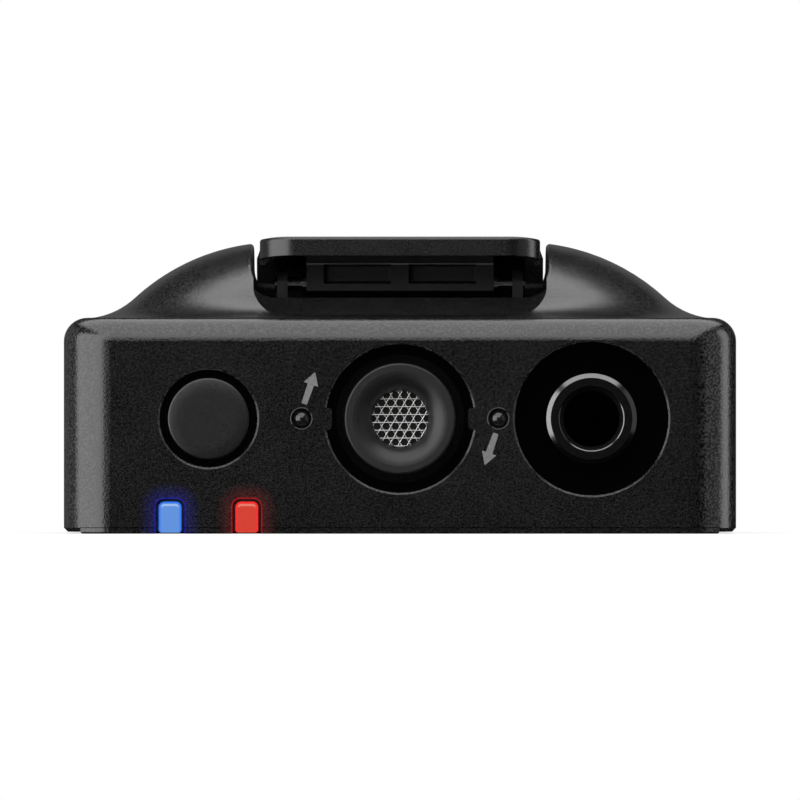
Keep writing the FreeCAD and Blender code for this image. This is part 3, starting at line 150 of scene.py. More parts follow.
SURROUND_LIGHT = (0.65, 0.65, 0.65, 1.0)
WHITE = (1.0, 1.0, 1.0, 1.0)
world = bpy.data.worlds.new("surround")
bpy.context.scene.world = world
world.use_nodes = True
world.node_tree.nodes.clear()
start = Signal(world.node_tree)
surround = start.node("Background", {}, {"Color": eye_or_mirror(start).mix(SURROUND_LIGHT, WHITE)})
start.node("OutputWorld", {}, {"Surface": surround})

FLOOR_WIDTH = 1.6
FLOOR_DROP = 0.02 * MM
FLOOR_FADE = (0.06, 0.35)
FLOOR_WHITE = 0.72
PAPER_WHITE = (0.82, 0.82, 0.82, 1.0)
bpy.ops.mesh.primitive_plane_add(size=FLOOR_WIDTH, location=(0.0, 0.0, cad_bounds[0].z - FLOOR_DROP))
floor = bpy.context.object
floor.name = "floor"
pale_floor, start, place = new_finish("pale_floor")
from_middle = start.node("VectorMath", {"operation": "LENGTH"}, {0: place}, "Value")
fade = start.node("MapRange", {"interpolation_type": "SMOOTHSTEP"},
                  {"Value": from_middle, "From Min": FLOOR_FADE[0], "From Max": FLOOR_FADE[1],
                   "To Min": FLOOR_WHITE, "To Max": 1.0})
paper = start.node("BsdfDiffuse", {}, {"Color": PAPER_WHITE})
glow = start.node("Emission", {}, {"Color": WHITE, "Strength": 1.0})
shade = start.node("MixShader", {}, {0: fade * eye_or_mirror(start), 1: paper, 2: glow})
start.node("OutputMaterial", {}, {"Surface": shade})
floor.data.materials.append(pale_floor)

AIM = Vector((0.0, 0.0, PICTURE_MIDDLE))


def towards(azimuth, elevation):
    """The direction from the object, in degrees round from the camera to the right, and up."""
    turn, rise = math.radians(azimuth), math.radians(elevation)
    return Vector((math.sin(turn) * math.cos(rise), -math.cos(turn) * math.cos(rise), math.sin(rise)))


def soft_box(name, middle, facing, width, height, brightness):
    """A rectangular lamp, shining along facing, that is this bright to look at."""
    lamp = bpy.data.lights.new(name, "AREA")
    lamp.shape = "RECTANGLE"
    lamp.size = width
    lamp.size_y = height
    lamp.energy = brightness * math.pi * width * height
    box = bpy.data.objects.new(name, lamp)
    bpy.context.scene.collection.objects.link(box)
    box.location = middle
    box.rotation_euler = facing.to_track_quat("-Z", "Y").to_euler()


SIDE_BOXES = {  # azimuth, elevation, distance, width, height and brightness
    "left_box": (-54, 6, 0.60, 0.88, 0.6, 2.0),
    "left_veil": (-118, 6, 0.62, 0.80, 0.6, 0.16),
    "right_box": (98, 10, 0.60, 0.26, 0.6, 1.35),
    "right_veil": (76, 10, 0.62, 0.90, 0.6, 0.20),
    "back_veil": (180, 4, 0.64, 0.60, 0.3, 0.15),
}
for name, (azimuth, elevation, distance, width, height, brightness) in SIDE_BOXES.items():
    side = towards(azimuth, elevation)
    soft_box(name, AIM + distance * side, -side, width, height, brightness)
TOP_BOX_MIDDLE = Vector((0.0, -0.75, 0.5))
DOWN = Vector((0.0, 0.0, -1.0))
soft_box("top_box", TOP_BOX_MIDDLE, DOWN, width=0.8, height=2.5, brightness=1.55)

TENT_RADIUS = 3.5
CLOTH_BLACK = (0.01, 0.01, 0.01, 1.0)
bpy.ops.mesh.primitive_uv_sphere_add(radius=TENT_RADIUS, segments=32, ring_count=16)
tent = bpy.context.object
tent.name = "dark_tent"
tent.visible_camera = tent.visible_diffuse = False
tent.visible_transmission = tent.visible_shadow = False
floor.visible_glossy = False
black_cloth, start = new_finish("black_cloth")[:2]
cloth = start.node("BsdfDiffuse", {}, {"Color": CLOTH_BLACK})
start.node("OutputMaterial", {}, {"Surface": cloth})
tent.data.materials.append(black_cloth)


# Rear housing. Injection moulded black ABS with a fine spark-eroded sand texture. Round the
# two lamps their light on the plastic is painted into it as glowing colour, most of all along
# the edges of their slots.
def noise(place, size, detail=2.0):
    """Blobs of this size, as a value from 0 to 1."""
    blobs = place.node("TexNoise", {}, {"Vector": place, "Scale": 1.0 / size, "Detail": detail,
                                        "Roughness": 0.6})
    return place.node("MapRange", {}, {"Value": blobs, "From Min": 0.3, "From Max": 0.7})


def relief(height, depth):
    """The bump of a pattern that stands this high."""
    return height.node("Bump", {}, {"Height": height, "Strength": 1.0, "Distance": depth})


def ramp(value, low, high):
    """0 at low and 1 at high, easing in and out."""
    return value.node("MapRange", {"interpolation_type": "SMOOTHSTEP"},
                      {"Value": value, "From Min": low, "From Max": high})


def between(value, low, high):
    """From low at 0 to high at 1, in a straight line."""
    return value * (high - low) + low


def around(value, mean, spread):
    """The mean, less the spread at 0 and with it added at 1."""
    return between(value, mean - spread, mean + spread)


def axes(place):
    """The three parts of a place or a direction."""
    return place.node("SeparateXYZ", {}, {"Vector": place}).outputs(*"XYZ")


def close(start, sockets):
    """Close a node tree with a principled surface."""
    shader = start.node("BsdfPrincipled", {}, sockets)
    start.node("OutputMaterial", {}, {"Surface": shader})


def grey(level):
    """A neutral colour."""
    return (level, level, level, 1.0)


def dress(material, *nodes):
    """Give CAD nodes a finish."""
    for node in nodes:
        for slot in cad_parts[node].material_slots:
            slot.material = material


SAND_SIZE = 0.145 * MM
SAND_HEIGHT = 0.0042 * MM
SAND_COLOURS = (0.0, 0.0075)
# Painted highlight: where the shell curves, the tips of the sand are painted paler, as glints.
GLINT_TIPS = (0.42, 0.72)
GLINT_COLOUR = 0.026
CURVED = (0.0, 0.08)
PLASTIC_SHINE = 1.0
POLISHED = 0.12
# Where the polish and the painted shade inside the holes begin.
POLISH_AND_SHADE_FROM = (end_face + 0.4 * MM, end_face + 0.7 * MM)
WELLS_SIDE = (18.0 * MM, 19.0 * MM)
WELLS_TOP = (12.4 * MM, 12.9 * MM)
WAVE_SIZE = 4.0 * MM
SAND_SPREAD = 0.02
WAVE_SPREAD = 0.015
LENS_CORNER = 0.36 * MM
SLOT_EDGE = 0.2 * MM
SLOT_LINE = 0.12 * MM
HAZE_REACH = 1.35 * MM
GLOW_DEPTH = (end_face + 1.2 * MM, end_face + 2.4 * MM)
# The painted glow round each lamp: the lamps' light on the plastic, painted as emitted colour.
PAINTED_LAMP_LIGHT = {  # the haze round each lamp and the line along its slot
    "lamp_lens_blue": ((0.004, 0.004, 0.060), (0.0, 0.0, 0.28)),
    "lamp_lens_red": ((0.040, 0.003, 0.003), (0.32, 0.0, 0.004)),
}


def from_lens(place, node):
    """How far a point of the end face is from a light pipe's outline, negative inside it."""
    low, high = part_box(node)
    x, y, z = axes(place)
    across = (x - (low.x + high.x) / 2).math("ABSOLUTE") - ((high.x - low.x) / 2 - LENS_CORNER)
    up = z - (high.z - LENS_CORNER)
    out_across, out_up = across.math("MAXIMUM", 0.0), up.math("MAXIMUM", 0.0)
    outside = (out_across * out_across + out_up * out_up).math("SQRT")
    return outside + across.math("MAXIMUM", up).math("MINIMUM", 0.0) - LENS_CORNER


def painted_lamp_glow(place):
    """The light of both lamps on the plastic round them, painted as a glowing colour."""
    x, y, z = axes(place)
    near_face = 1.0 - ramp(y, *GLOW_DEPTH)
    total = grey(0.0)
    for node, (haze, line) in PAINTED_LAMP_LIGHT.items():
        away = from_lens(place, node)
        for reach, tint in ((HAZE_REACH, haze), (SLOT_EDGE + SLOT_LINE, line)):
            level = (1.0 - ramp(away, SLOT_EDGE, reach)) * near_face
            total = level.mix(total, (*tint, 1.0), "ADD")
    return total


def in_wells(place):
    """1 on the walls and floors of the hole and the two wells, which the tool leaves polished. There the
    colour also goes to its darkest, a painted shade.
    """
    x, y, z = axes(place)
    inboard = 1.0 - ramp(x.math("ABSOLUTE"), *WELLS_SIDE)
    return ramp(y, *POLISH_AND_SHADE_FROM) * inboard * (1.0 - ramp(z, *WELLS_TOP))


def painted_glint_tips(place, sand):
    """The tips of the sand grains where the shell curves, painted paler as glints: a painted highlight.
    """
    facing = axes(place.outputs("Normal")[0])
    x, y, z = (part.math("ABSOLUTE") for part in facing)
    curved = ramp(1.0 - x.math("MAXIMUM", y).math("MAXIMUM", z), *CURVED)
    return curved * ramp(sand, *GLINT_TIPS)


def sand_plastic(name, rough):
    """Black plastic with sand grains that show in its colour, its gloss and its relief."""
    material, start, place = new_finish(name)
    sand = noise(place, SAND_SIZE, detail=1.0)
    waves = noise(place, WAVE_SIZE)
    polish_and_shade = in_wells(place)
    # Inside the hole and wells the grain goes and the colour drops to its darkest: real polish and
    # painted shade.
    texture = 1.0 - polish_and_shade
    skin = (sand * texture).mix(grey(SAND_COLOURS[0]), grey(SAND_COLOURS[1]))
    dullness = around(sand, rough, SAND_SPREAD) + around(waves, 0.0, WAVE_SPREAD)
    # painted highlight: pale glints on the grain tips where the shell curves
    close(start, {"Base Color": (painted_glint_tips(place, sand) * texture).mix(skin, grey(GLINT_COLOUR)),
                  "Roughness": dullness * texture + polish_and_shade * POLISHED,
                  "Specular IOR Level": PLASTIC_SHINE,
                  "Normal": relief(sand * texture, SAND_HEIGHT),
                  # painted light: the lamps' glow on the plastic is emitted by the plastic itself
                  "Emission Color": painted_lamp_glow(place),
                  "Emission Strength": 1.0})
    return material


dress(sand_plastic("sand_black_plastic", 0.225), "rear_housing")


# Turn arrows. Two arrows beside the microphone well show which way a windscreen turns to lock.
# They are pad printed in grey ink, which lies a few thousandths of a millimetre proud.
ROW_HEIGHT = 7.35 * MM
ARROW_TAIL = Vector((-6.125 * MM, 0.0, 0.94 * MM))
ARROW_TILT = math.radians(19.2)
SHAFT_LENGTH = 1.32 * MM
TAIL_WIDTH = 0.36 * MM
NECK_WIDTH = 0.43 * MM
HEAD_WIDTH = 0.98 * MM
HEAD_LENGTH = 0.84 * MM
INK_CORNER = 0.05 * MM
NECK_CORNER = NECK_WIDTH / 2 + INK_CORNER
INK_HEIGHT = 0.005 * MM


def pick(*pieces):
    """Select just these pieces, with the first one active."""
    bpy.ops.object.select_all(action="DESELECT")
    for piece in pieces:
        piece.select_set(True)
    bpy.context.view_layer.objects.active = pieces[0]


def begin(name, primitive, **settings):
    """Start a piece from a primitive, with nothing else selected."""
    bpy.ops.object.select_all(action="DESELECT")
    primitive(**settings)
    bpy.context.object.name = name
    return bpy.context.object


def in_edit(piece, chosen):
    """Open a piece in edit mode with just the vertices that pass the test selected."""
    pick(piece)
    bpy.ops.object.mode_set(mode="EDIT")
    bpy.ops.mesh.select_mode(type="VERT")
    bpy.ops.mesh.select_all(action="DESELECT")
    shape = bmesh.from_edit_mesh(piece.data)
    for vertex in shape.verts:
        vertex.select_set(chosen(vertex.co))
    shape.select_flush(True)
    bmesh.update_edit_mesh(piece.data)


def settle(piece):
    """Leave edit mode and put the piece's place into its mesh."""
    bpy.ops.object.mode_set(mode="OBJECT")
    pick(piece)
    bpy.ops.object.transform_apply(location=True, rotation=True, scale=True)


def stretched(name, primitive, middle, size):
    """Start a piece from a primitive one unit wide, scaled to this size about its middle."""
    piece = begin(name, primitive, size=1.0, location=middle)
    piece.scale = size
    settle(piece)
    return piece


def modify(piece, kind, **settings):
    """Add a modifier and apply it."""
    pick(piece)
    modifier = piece.modifiers.new(kind.lower(), kind)
    for name, setting in settings.items():
        setattr(modifier, name, setting)
    bpy.ops.object.modifier_apply(modifier=modifier.name)


def twin(piece, name):
    """A copy of a piece with its own mesh."""
    copy = piece.copy()
    copy.data = piece.data.copy()
    copy.name = name
    bpy.context.scene.collection.objects.link(copy)
    return copy


def matt(name, first, second, size, height):
    """A dull finish, mottled between two colours."""
    material, start, place = new_finish(name)
    specks = noise(place, size)
    close(start, {"Base Color": specks.mix(first, second),
                  "Roughness": between(specks, 0.5, 0.6),
                  "Normal": relief(specks, height)})
    return material


def finish_piece(piece, material, slot, body, *stands_for):
    """Give a new piece its finish, its body and the nodes that it stands for. The slot is not used."""
    piece.data.materials.clear()
    piece.data.materials.append(material)
    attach(piece, body)
    if stands_for:
        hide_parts(*stands_for)


PLANE = bpy.ops.mesh.primitive_plane_add
shaft_middle, head_middle = SHAFT_LENGTH / 2, SHAFT_LENGTH + HEAD_LENGTH / 2
arrow = stretched("turn_arrow_left", PLANE, (0.0, shaft_middle, 0.0), (TAIL_WIDTH, SHAFT_LENGTH, 1.0))
in_edit(arrow, lambda co: co.y > shaft_middle)
bpy.ops.transform.resize(value=(NECK_WIDTH / TAIL_WIDTH, 1.0, 1.0),
                         center_override=(0.0, SHAFT_LENGTH, 0.0))
settle(arrow)
head = stretched("head", PLANE, (0.0, head_middle, 0.0), (HEAD_WIDTH, HEAD_LENGTH, 1.0))
in_edit(head, lambda co: co.y > head_middle)
bpy.ops.mesh.merge(type="CENTER")
settle(head)
pick(arrow, head)
bpy.ops.object.join()
in_edit(arrow, lambda co: abs(co.y - SHAFT_LENGTH) > INK_CORNER or abs(co.x) > NECK_CORNER)
bpy.ops.mesh.bevel(offset=INK_CORNER, segments=4, affect="VERTICES")
settle(arrow)
modify(arrow, "SOLIDIFY", thickness=INK_HEIGHT, offset=1.0)
arrow_right = twin(arrow, "turn_arrow_right")
ink = matt("grey_print", grey(0.10), grey(0.14), SAND_SIZE, SAND_HEIGHT)
for piece, side, half_turn in ((arrow, 1.0, 0.0), (arrow_right, -1.0, math.pi)):
    piece.rotation_euler = (math.radians(90), ARROW_TILT + half_turn, 0.0)
    piece.location = side * ARROW_TAIL + Vector((0.0, end_face, ROW_HEIGHT))
    settle(piece)
    finish_piece(piece, ink, "shell_plastic", "housing")


# Front cover. A thin moulded plate of the same plastic, clipped into the open side of the
# housing. It is the side that lies down, a little smoother than the housing where it rubs.
dress(sand_plastic("cover_black_plastic", 0.22), "front_cover")


# Lamps. Two light pipes of clear acrylic stand in slots of the end face. Each is lit from
# inside by a chip over it, bluish white or red in the middle and deeper at its rim. A pale band
# below the top of each is a painted highlight.
PIPE_RIM = 0.20 * MM
BAND_FROM = 0.10 * MM
BAND_TO = 0.34 * MM
BAND_BELOW_TOP = (0.42 * MM, 0.2 * MM)
CLOUD_SIZE = 0.5 * MM
# The last colour of each pipe is a painted highlight, in a band below its top.
PIPES = {  # the finish's name and the colours of its rim, its body and its highlight
    "lamp_lens_blue": ("blue_light_pipe",
                       (0.000, 0.150, 0.860), (0.095, 0.265, 0.690), (0.370, 0.540, 0.830)),
    "lamp_lens_red": ("red_light_pipe",
                      (0.980, 0.000, 0.001), (0.640, 0.028, 0.008), (0.800, 0.230, 0.160)),
}
for node, (name, rim, body, painted_highlight) in PIPES.items():
    pipe, start, place = new_finish(name)
    inside = from_lens(place, node) * -1.0
    x, y, z = axes(place)
    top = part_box(node)[1].z
    colour = ramp(inside, 0.0, PIPE_RIM).mix((*rim, 1.0), (*body, 1.0))
    # painted highlight: a pale band inside the rim, near the top
    painted_band = ramp(inside, BAND_FROM, PIPE_RIM) * (1.0 - ramp(inside, PIPE_RIM, BAND_TO))
    painted_band = painted_band * ramp(z, top - BAND_BELOW_TOP[0], top - BAND_BELOW_TOP[1])
    cloud = noise(place, CLOUD_SIZE)
    close(start, {"Base Color": grey(0.02),
                  "Roughness": between(cloud, 0.16, 0.22),
                  "Emission Color": painted_band.mix(colour, (*painted_highlight, 1.0)),
                  "Emission Strength": 1.0})
    dress(pipe, node)

# A sleeve of soft black rubber closes the gap round each light pipe, so that no light leaks.
SLEEVE_WALL = 0.18 * MM
SLEEVE_PLAY = 0.01 * MM
SLEEVE_FRONT = end_face + 0.35 * MM
SLEEVE_BACK = end_face + 1.55 * MM
SLEEVE_FOOT = 0.06 * MM
NEAR = 0.01 * MM
CUBE = bpy.ops.mesh.primitive_cube_add


def arch(name, middle, half_width, bottom, top, front, back, corner):
    """A block whose two upper edges are rounded."""
    block = stretched(name, CUBE, (middle, (front + back) / 2, (bottom + top) / 2),
                      (2 * half_width, back - front, top - bottom))
    in_edit(block, lambda co: False)
    bpy.ops.mesh.select_mode(type="EDGE")
    shape = bmesh.from_edit_mesh(block.data)
    for edge in shape.edges:
        ends = [vertex.co for vertex in edge.verts]
        edge.select_set(all(end.z > top - NEAR for end in ends) and ends[0].x == ends[1].x)
    bmesh.update_edit_mesh(block.data)
    bpy.ops.mesh.bevel(offset=corner, segments=6, affect="EDGES")
    settle(block)
    return block


sleeve_rubber = matt("sleeve_rubber", grey(0.001), grey(0.004), size=0.08 * MM, height=0.003 * MM)
for node in PIPES:
    low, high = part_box(node)
    middle, half = (low.x + high.x) / 2, (high.x - low.x) / 2
    sleeve = arch(node.replace("lens", "sleeve"), middle, half + SLEEVE_WALL, low.z + SLEEVE_FOOT,
                  high.z + SLEEVE_WALL, SLEEVE_FRONT, SLEEVE_BACK, LENS_CORNER + SLEEVE_WALL)
    hollow = arch("hollow", middle, half + SLEEVE_PLAY, low.z - MM, high.z + SLEEVE_PLAY,
                  SLEEVE_FRONT - MM, SLEEVE_BACK + MM, LENS_CORNER)
    modify(sleeve, "BOOLEAN", object=hollow, operation="DIFFERENCE", solver="EXACT")
    bpy.data.objects.remove(hollow)
    bpy.ops.object.shade_smooth_by_angle(angle=math.radians(25))
    finish_piece(sleeve, sleeve_rubber, "boot_rubber", "housing")

# The chips are cast over with a pale yellow phosphor.
YELLOW = (0.75, 0.66, 0.30, 1.0)
PALE_YELLOW = (0.85, 0.80, 0.55, 1.0)
dress(matt("chip_ceramic", YELLOW, PALE_YELLOW, size=0.05 * MM, height=0.003 * MM), "lamp_chips")


# Power button. A round cap of satin black plastic with a flange that the housing keeps in, on
# the plunger of a small switch. The switch sits on its own board behind the hole.
CAP_RADIUS = 2.61 * MM
CAP_EDGE = 0.11 * MM
CAP_FLAT = 1.7 * MM
CROWN_ANGLE = math.radians(6)
EDGE_BREAK = 10  # degrees between the end of the crown and the start of the edge
CAP_FRONT = end_face + 0.05 * MM
FLANGE_RADIUS = 3.6 * MM
FLANGE_FRONT = end_face + 1.65 * MM
FLANGE_BACK = FLANGE_FRONT + 0.6 * MM
STEM_RADIUS = 1.2 * MM
STEM_BACK = end_face + 3.4 * MM
ARC_STEPS = 10
SMOOTH_ANGLE = math.radians(38)
SEAM = 0.0002 * MM


def spun(name, outline, middle, sides, smooth=SMOOTH_ANGLE):
    """A piece turned round an axis along Y, from its half outline of (radius, y) points."""
    piece = begin(name, PLANE, size=MM, location=(0.0, 0.0, 0.0))
    in_edit(piece, lambda co: True)
    bpy.ops.mesh.merge(type="CENTER")
    bpy.ops.transform.translate(value=(outline[0][0], outline[0][1], 0.0))
    for (from_radius, from_y), (to_radius, to_y) in zip(outline, outline[1:]):
        step = (to_radius - from_radius, to_y - from_y, 0.0)
        bpy.ops.mesh.extrude_vertices_move(TRANSFORM_OT_translate={"value": step})
    bpy.ops.mesh.select_all(action="SELECT")
    bpy.ops.mesh.spin(steps=sides, angle=math.tau, center=(0.0, 0.0, 0.0), axis=(0.0, 1.0, 0.0))
    bpy.ops.mesh.select_all(action="SELECT")
    bpy.ops.mesh.remove_doubles(threshold=SEAM)
    bpy.ops.mesh.normals_make_consistent(inside=False)
    bpy.ops.object.mode_set(mode="OBJECT")
    piece.location = middle
    settle(piece)
    bpy.ops.object.shade_smooth_by_angle(angle=smooth)
    return piece


def arc(centre, radius, first, last, steps):
    """Points of an arc of an outline, from one angle to another in degrees."""
    turns = [math.radians(first + (last - first) * i / steps) for i in range(steps + 1)]
    return [(centre[0] + radius * math.cos(t), centre[1] + radius * math.sin(t)) for t in turns]


def row_place(node):
    """The middle of a round node of the end face, on that face's zero of Y."""
    low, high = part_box(node)
    return Vector(((low.x + high.x) / 2, 0.0, (low.z + high.z) / 2))


GRAIN_SPREAD = 0.02


def grained(name, dark, pale, rough, size, height, shine=0.5):
    """Plastic, rubber or a coating whose grain shows in its colour, its gloss and its relief."""
    material, start, place = new_finish(name)
    grains = noise(place, size)
    waves = noise(place, WAVE_SIZE)
    close(start, {"Base Color": grains.mix(grey(dark), grey(pale)),
                  "Roughness": around(grains, rough, GRAIN_SPREAD) + around(waves, 0.0, GRAIN_SPREAD),
                  "Specular IOR Level": shine,
                  "Normal": relief(grains, height)})
    return material


crown_radius = (CAP_RADIUS - CAP_FLAT - CAP_EDGE) / math.sin(CROWN_ANGLE)
crown_drop = crown_radius * (1.0 - math.cos(CROWN_ANGLE))
crown_end = math.degrees(CROWN_ANGLE) - 90
crown = arc((CAP_FLAT, CAP_FRONT + crown_radius), crown_radius, -90, crown_end, ARC_STEPS)
edge = arc((CAP_RADIUS - CAP_EDGE, CAP_FRONT + crown_drop + CAP_EDGE), CAP_EDGE,
           crown_end + EDGE_BREAK, 0, ARC_STEPS)
button = spun("button_cap",
              [(0.0, CAP_FRONT)] + crown + edge
              + [(CAP_RADIUS, FLANGE_FRONT), (FLANGE_RADIUS, FLANGE_FRONT), (FLANGE_RADIUS, FLANGE_BACK),
                 (STEM_RADIUS, FLANGE_BACK), (STEM_RADIUS, STEM_BACK), (0.0, STEM_BACK)],
              row_place("power_button"), sides=96)
satin, start, place = new_finish("button_black_plastic")
x, y, z = axes(place)
grains = noise(place, size=0.08 * MM)
# Deeper than the face the cap is polished and at its darkest colour: real polish and painted shade in
# the gap.
polished_and_shaded = ramp(y, *POLISH_AND_SHADE_FROM)
shown = 1.0 - polished_and_shaded
close(start, {"Base Color": (grains * shown).mix(grey(0.001), grey(0.009)),
              "Roughness": between(grains, 0.28, 0.32) * shown + polished_and_shaded * POLISHED,
              "Specular IOR Level": PLASTIC_SHINE,
              "Normal": relief(grains * shown, depth=0.002 * MM)})
finish_piece(button, satin, "button_plastic", "button", "power_button")
dress(grained("switch_black_plastic", dark=0.010, pale=0.016, rough=0.45,
              size=0.06 * MM, height=0.002 * MM), "button_plunger", "button_switch")


# Printed circuit boards. Glass fibre with a green solder mask, and under it copper tracks that
# show paler. The button's board is a strip of the same make.
TRACK_PITCH = 0.9 * MM
TRACK_EDGE = (0.06, 0.10)
TRACK_HEIGHT = 0.02 * MM
MASK_GREEN = (0.006, 0.060, 0.022, 1.0)
TRACK_GREEN = (0.020, 0.160, 0.060, 1.0)
mask_green, start, place = new_finish("green_solder_mask")
cells = start.node("TexVoronoi", {"feature": "DISTANCE_TO_EDGE"},
                   {"Vector": place, "Scale": 1.0 / TRACK_PITCH, "Randomness": 0.35}, "Distance")
tracks = 1.0 - ramp(cells, *TRACK_EDGE)
weave = noise(place, size=0.15 * MM)
close(start, {"Base Color": tracks.mix(MASK_GREEN, TRACK_GREEN),
              "Roughness": between(weave, 0.30, 0.38),
              "Normal": relief(tracks, TRACK_HEIGHT)})
dress(mask_green, "main_board", "button_board")


# Microphone boot. A moulded ring of soft black rubber pressed into the well. Its bell mouth
# leads down to the mesh.
RUBBER_GRAIN = 0.09 * MM
FOOT_RADIUS = (3.3 * MM, 3.6 * MM)
FOOT_DEPTH = (end_face + 1.2 * MM, end_face + 1.7 * MM)
rubber, start, place = new_finish("black_rubber")
x, y, z = axes(place)
grains = noise(place, RUBBER_GRAIN)
out = start.node("VectorMath", {"operation": "MULTIPLY"}, {0: place, 1: (1.0, 0.0, 1.0)})
out = start.node("VectorMath", {"operation": "DISTANCE"}, {0: out, 1: (0.0, 0.0, ROW_HEIGHT)}, "Value")
foot = ramp(out, *FOOT_RADIUS) * ramp(y, *FOOT_DEPTH)
bell = 1.0 - foot
close(start, {"Base Color": grains.mix(grey(0.003), grey(0.009)),
              "Roughness": between(grains, 0.36, 0.40) * bell + foot * POLISHED,
              "Specular IOR Level": 0.7,
              "Normal": relief(grains * bell, depth=0.002 * MM)})
dress(rubber, "mic_boot")


# Microphone mesh. Bright stainless wires in three directions, pressed flat where they cross
# and spot welded into a thin rim.
MESH_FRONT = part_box("mic_mesh")[0].y
MESH_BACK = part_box("mic_mesh")[1].y
MESH_RADIUS = 2.04 * MM
RIM_WIDTH = 0.14 * MM
WIRE_REACH = MESH_RADIUS - RIM_WIDTH / 2
WIRE_RADIUS = 0.043 * MM
WIRE_PITCH = 0.502 * MM
WIRE_OFFSETS = [side * (i + 0.5) * WIRE_PITCH for i in range(4) for side in (-1, 1)]
WIRE_LAYERS = {0: 0.042 * MM, 60: 0.072 * MM, 120: 0.102 * MM}
mesh_middle = row_place("mic_mesh")
mesh = spun("mic_mesh_wires",
            [(MESH_RADIUS - RIM_WIDTH, MESH_FRONT), (MESH_RADIUS, MESH_FRONT), (MESH_RADIUS, MESH_BACK),
             (MESH_RADIUS - RIM_WIDTH, MESH_BACK), (MESH_RADIUS - RIM_WIDTH, MESH_FRONT)],
            mesh_middle, sides=64)
wire = begin("wire", bpy.ops.mesh.primitive_cylinder_add,
             vertices=8, radius=WIRE_RADIUS, depth=1.0, location=(0.0, 0.0, 0.0))
bpy.ops.object.shade_smooth_by_angle(angle=math.radians(50))
wires = []
for angle, depth in WIRE_LAYERS.items():
    side = math.radians(angle + 90)
    across = Vector((math.cos(side), 0.0, math.sin(side)))
    for offset in WIRE_OFFSETS:
        strand = twin(wire, "wire")
        strand.scale = (1.0, 1.0, 2.0 * math.sqrt(WIRE_REACH ** 2 - offset ** 2))
        strand.rotation_euler = (0.0, math.radians(90 - angle), 0.0)
        strand.location = mesh_middle + across * offset + Vector((0.0, MESH_FRONT + depth, 0.0))
        settle(strand)
        wires.append(strand)
bpy.data.objects.remove(wire)
pick(mesh, *wires)
bpy.ops.object.join()


LINE_SPREAD = 0.04
LINE_SHADE = 0.8


def metal(name, colour, rough, stretch, size, depth):
    """Metal with the fine lines of its making, drawn out along an axis by the stretch."""
    material, start, place = new_finish(name)
    drawn = start.node("VectorMath", {"operation": "MULTIPLY"}, {0: place, 1: stretch})
    lines = noise(drawn, size, detail=4.0)
    darker = [LINE_SHADE * part for part in colour]
    close(start, {"Base Color": lines.mix((*darker, 1.0), (*colour, 1.0)),
                  "Roughness": around(lines, rough, LINE_SPREAD),
                  "Metallic": 1.0,
                  "Normal": relief(lines, depth)})
    return material


EVEN = (1.0, 1.0, 1.0)
bright_steel = metal("bright_steel", (0.92, 0.92, 0.90), rough=0.24, stretch=EVEN,
                     size=0.2 * MM, depth=0.001 * MM)
finish_piece(mesh, bright_steel, "mesh_steel", "housing", "mic_mesh")


# Microphone capsule. A drawn can of tinned steel, held in the neck of the boot behind the mesh,
# with black felt glued over its sound hole.
FELT_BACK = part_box("mic_capsule")[0].y + 0.06 * MM
TIN_FRONT = FELT_BACK + 0.04 * MM
capsule, start, place = new_finish("capsule_felt_and_tin")
x, y, z = axes(place)
tin = ramp(y, FELT_BACK, TIN_FRONT)
fibres = noise(place, size=0.05 * MM, detail=4.0)
close(start, {"Base Color": tin.mix(fibres.mix(grey(0.001), grey(0.006)), grey(0.6)),
              "Roughness": between(tin, 0.95, 0.35),
              "Metallic": tin,
              "Normal": relief(fibres, depth=0.01 * MM)})
dress(capsule, "mic_capsule")


# Detent studs. Two small domed pins of glossy black plastic, pressed into the end face, that a
# windscreen's collar snaps over.
STUD_RADIUS = 0.47 * MM
HEAD_RADIUS = 0.58 * MM
HEAD_HEIGHT = 0.34 * MM
STUD_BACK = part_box("stud_left")[1].y
dome_radius = (HEAD_RADIUS ** 2 + HEAD_HEIGHT ** 2) / (2 * HEAD_HEIGHT)
dome_edge = math.degrees(math.asin(HEAD_RADIUS / dome_radius))
dome_middle = (0.0, end_face + dome_radius)
stud = spun("detent_stud_left",
            arc(dome_middle, dome_radius, -90, dome_edge - 90, ARC_STEPS)
            + [(STUD_RADIUS, end_face + HEAD_HEIGHT), (STUD_RADIUS, STUD_BACK), (0.0, STUD_BACK)],
            row_place("stud_left"), sides=48)
left_to_right = row_place("stud_right") - row_place("stud_left")
stud_right = twin(stud, "detent_stud_right")
stud_right.location = left_to_right
settle(stud_right)
gloss = grained("gloss_black_plastic", dark=0.004, pale=0.008, rough=0.13,
                size=0.2 * MM, height=0.0005 * MM, shine=PLASTIC_SHINE)
finish_piece(stud, gloss, "stud_plastic", "housing", "stud_left")
finish_piece(stud_right, gloss, "stud_plastic", "housing", "stud_right")

# The recess round each stud has a fine raised lip, which the moulding tool's pin leaves.
LIP_INNER = 0.655 * MM
LIP_WIDTH = 0.06 * MM
LIP_HEIGHT = 0.012 * MM
lip_middle = LIP_INNER + LIP_WIDTH / 2
lip = spun("recess_lip_left",
           [(LIP_INNER, end_face), (lip_middle, end_face - LIP_HEIGHT),
            (LIP_INNER + LIP_WIDTH, end_face), (lip_middle, end_face + LIP_HEIGHT),
            (LIP_INNER, end_face)],
           row_place("stud_left"), sides=64)
lip_right = twin(lip, "recess_lip_right")
lip_right.location = left_to_right
settle(lip_right)
for piece in (lip, lip_right):
    finish_piece(piece, gloss, "shell_plastic", "housing")


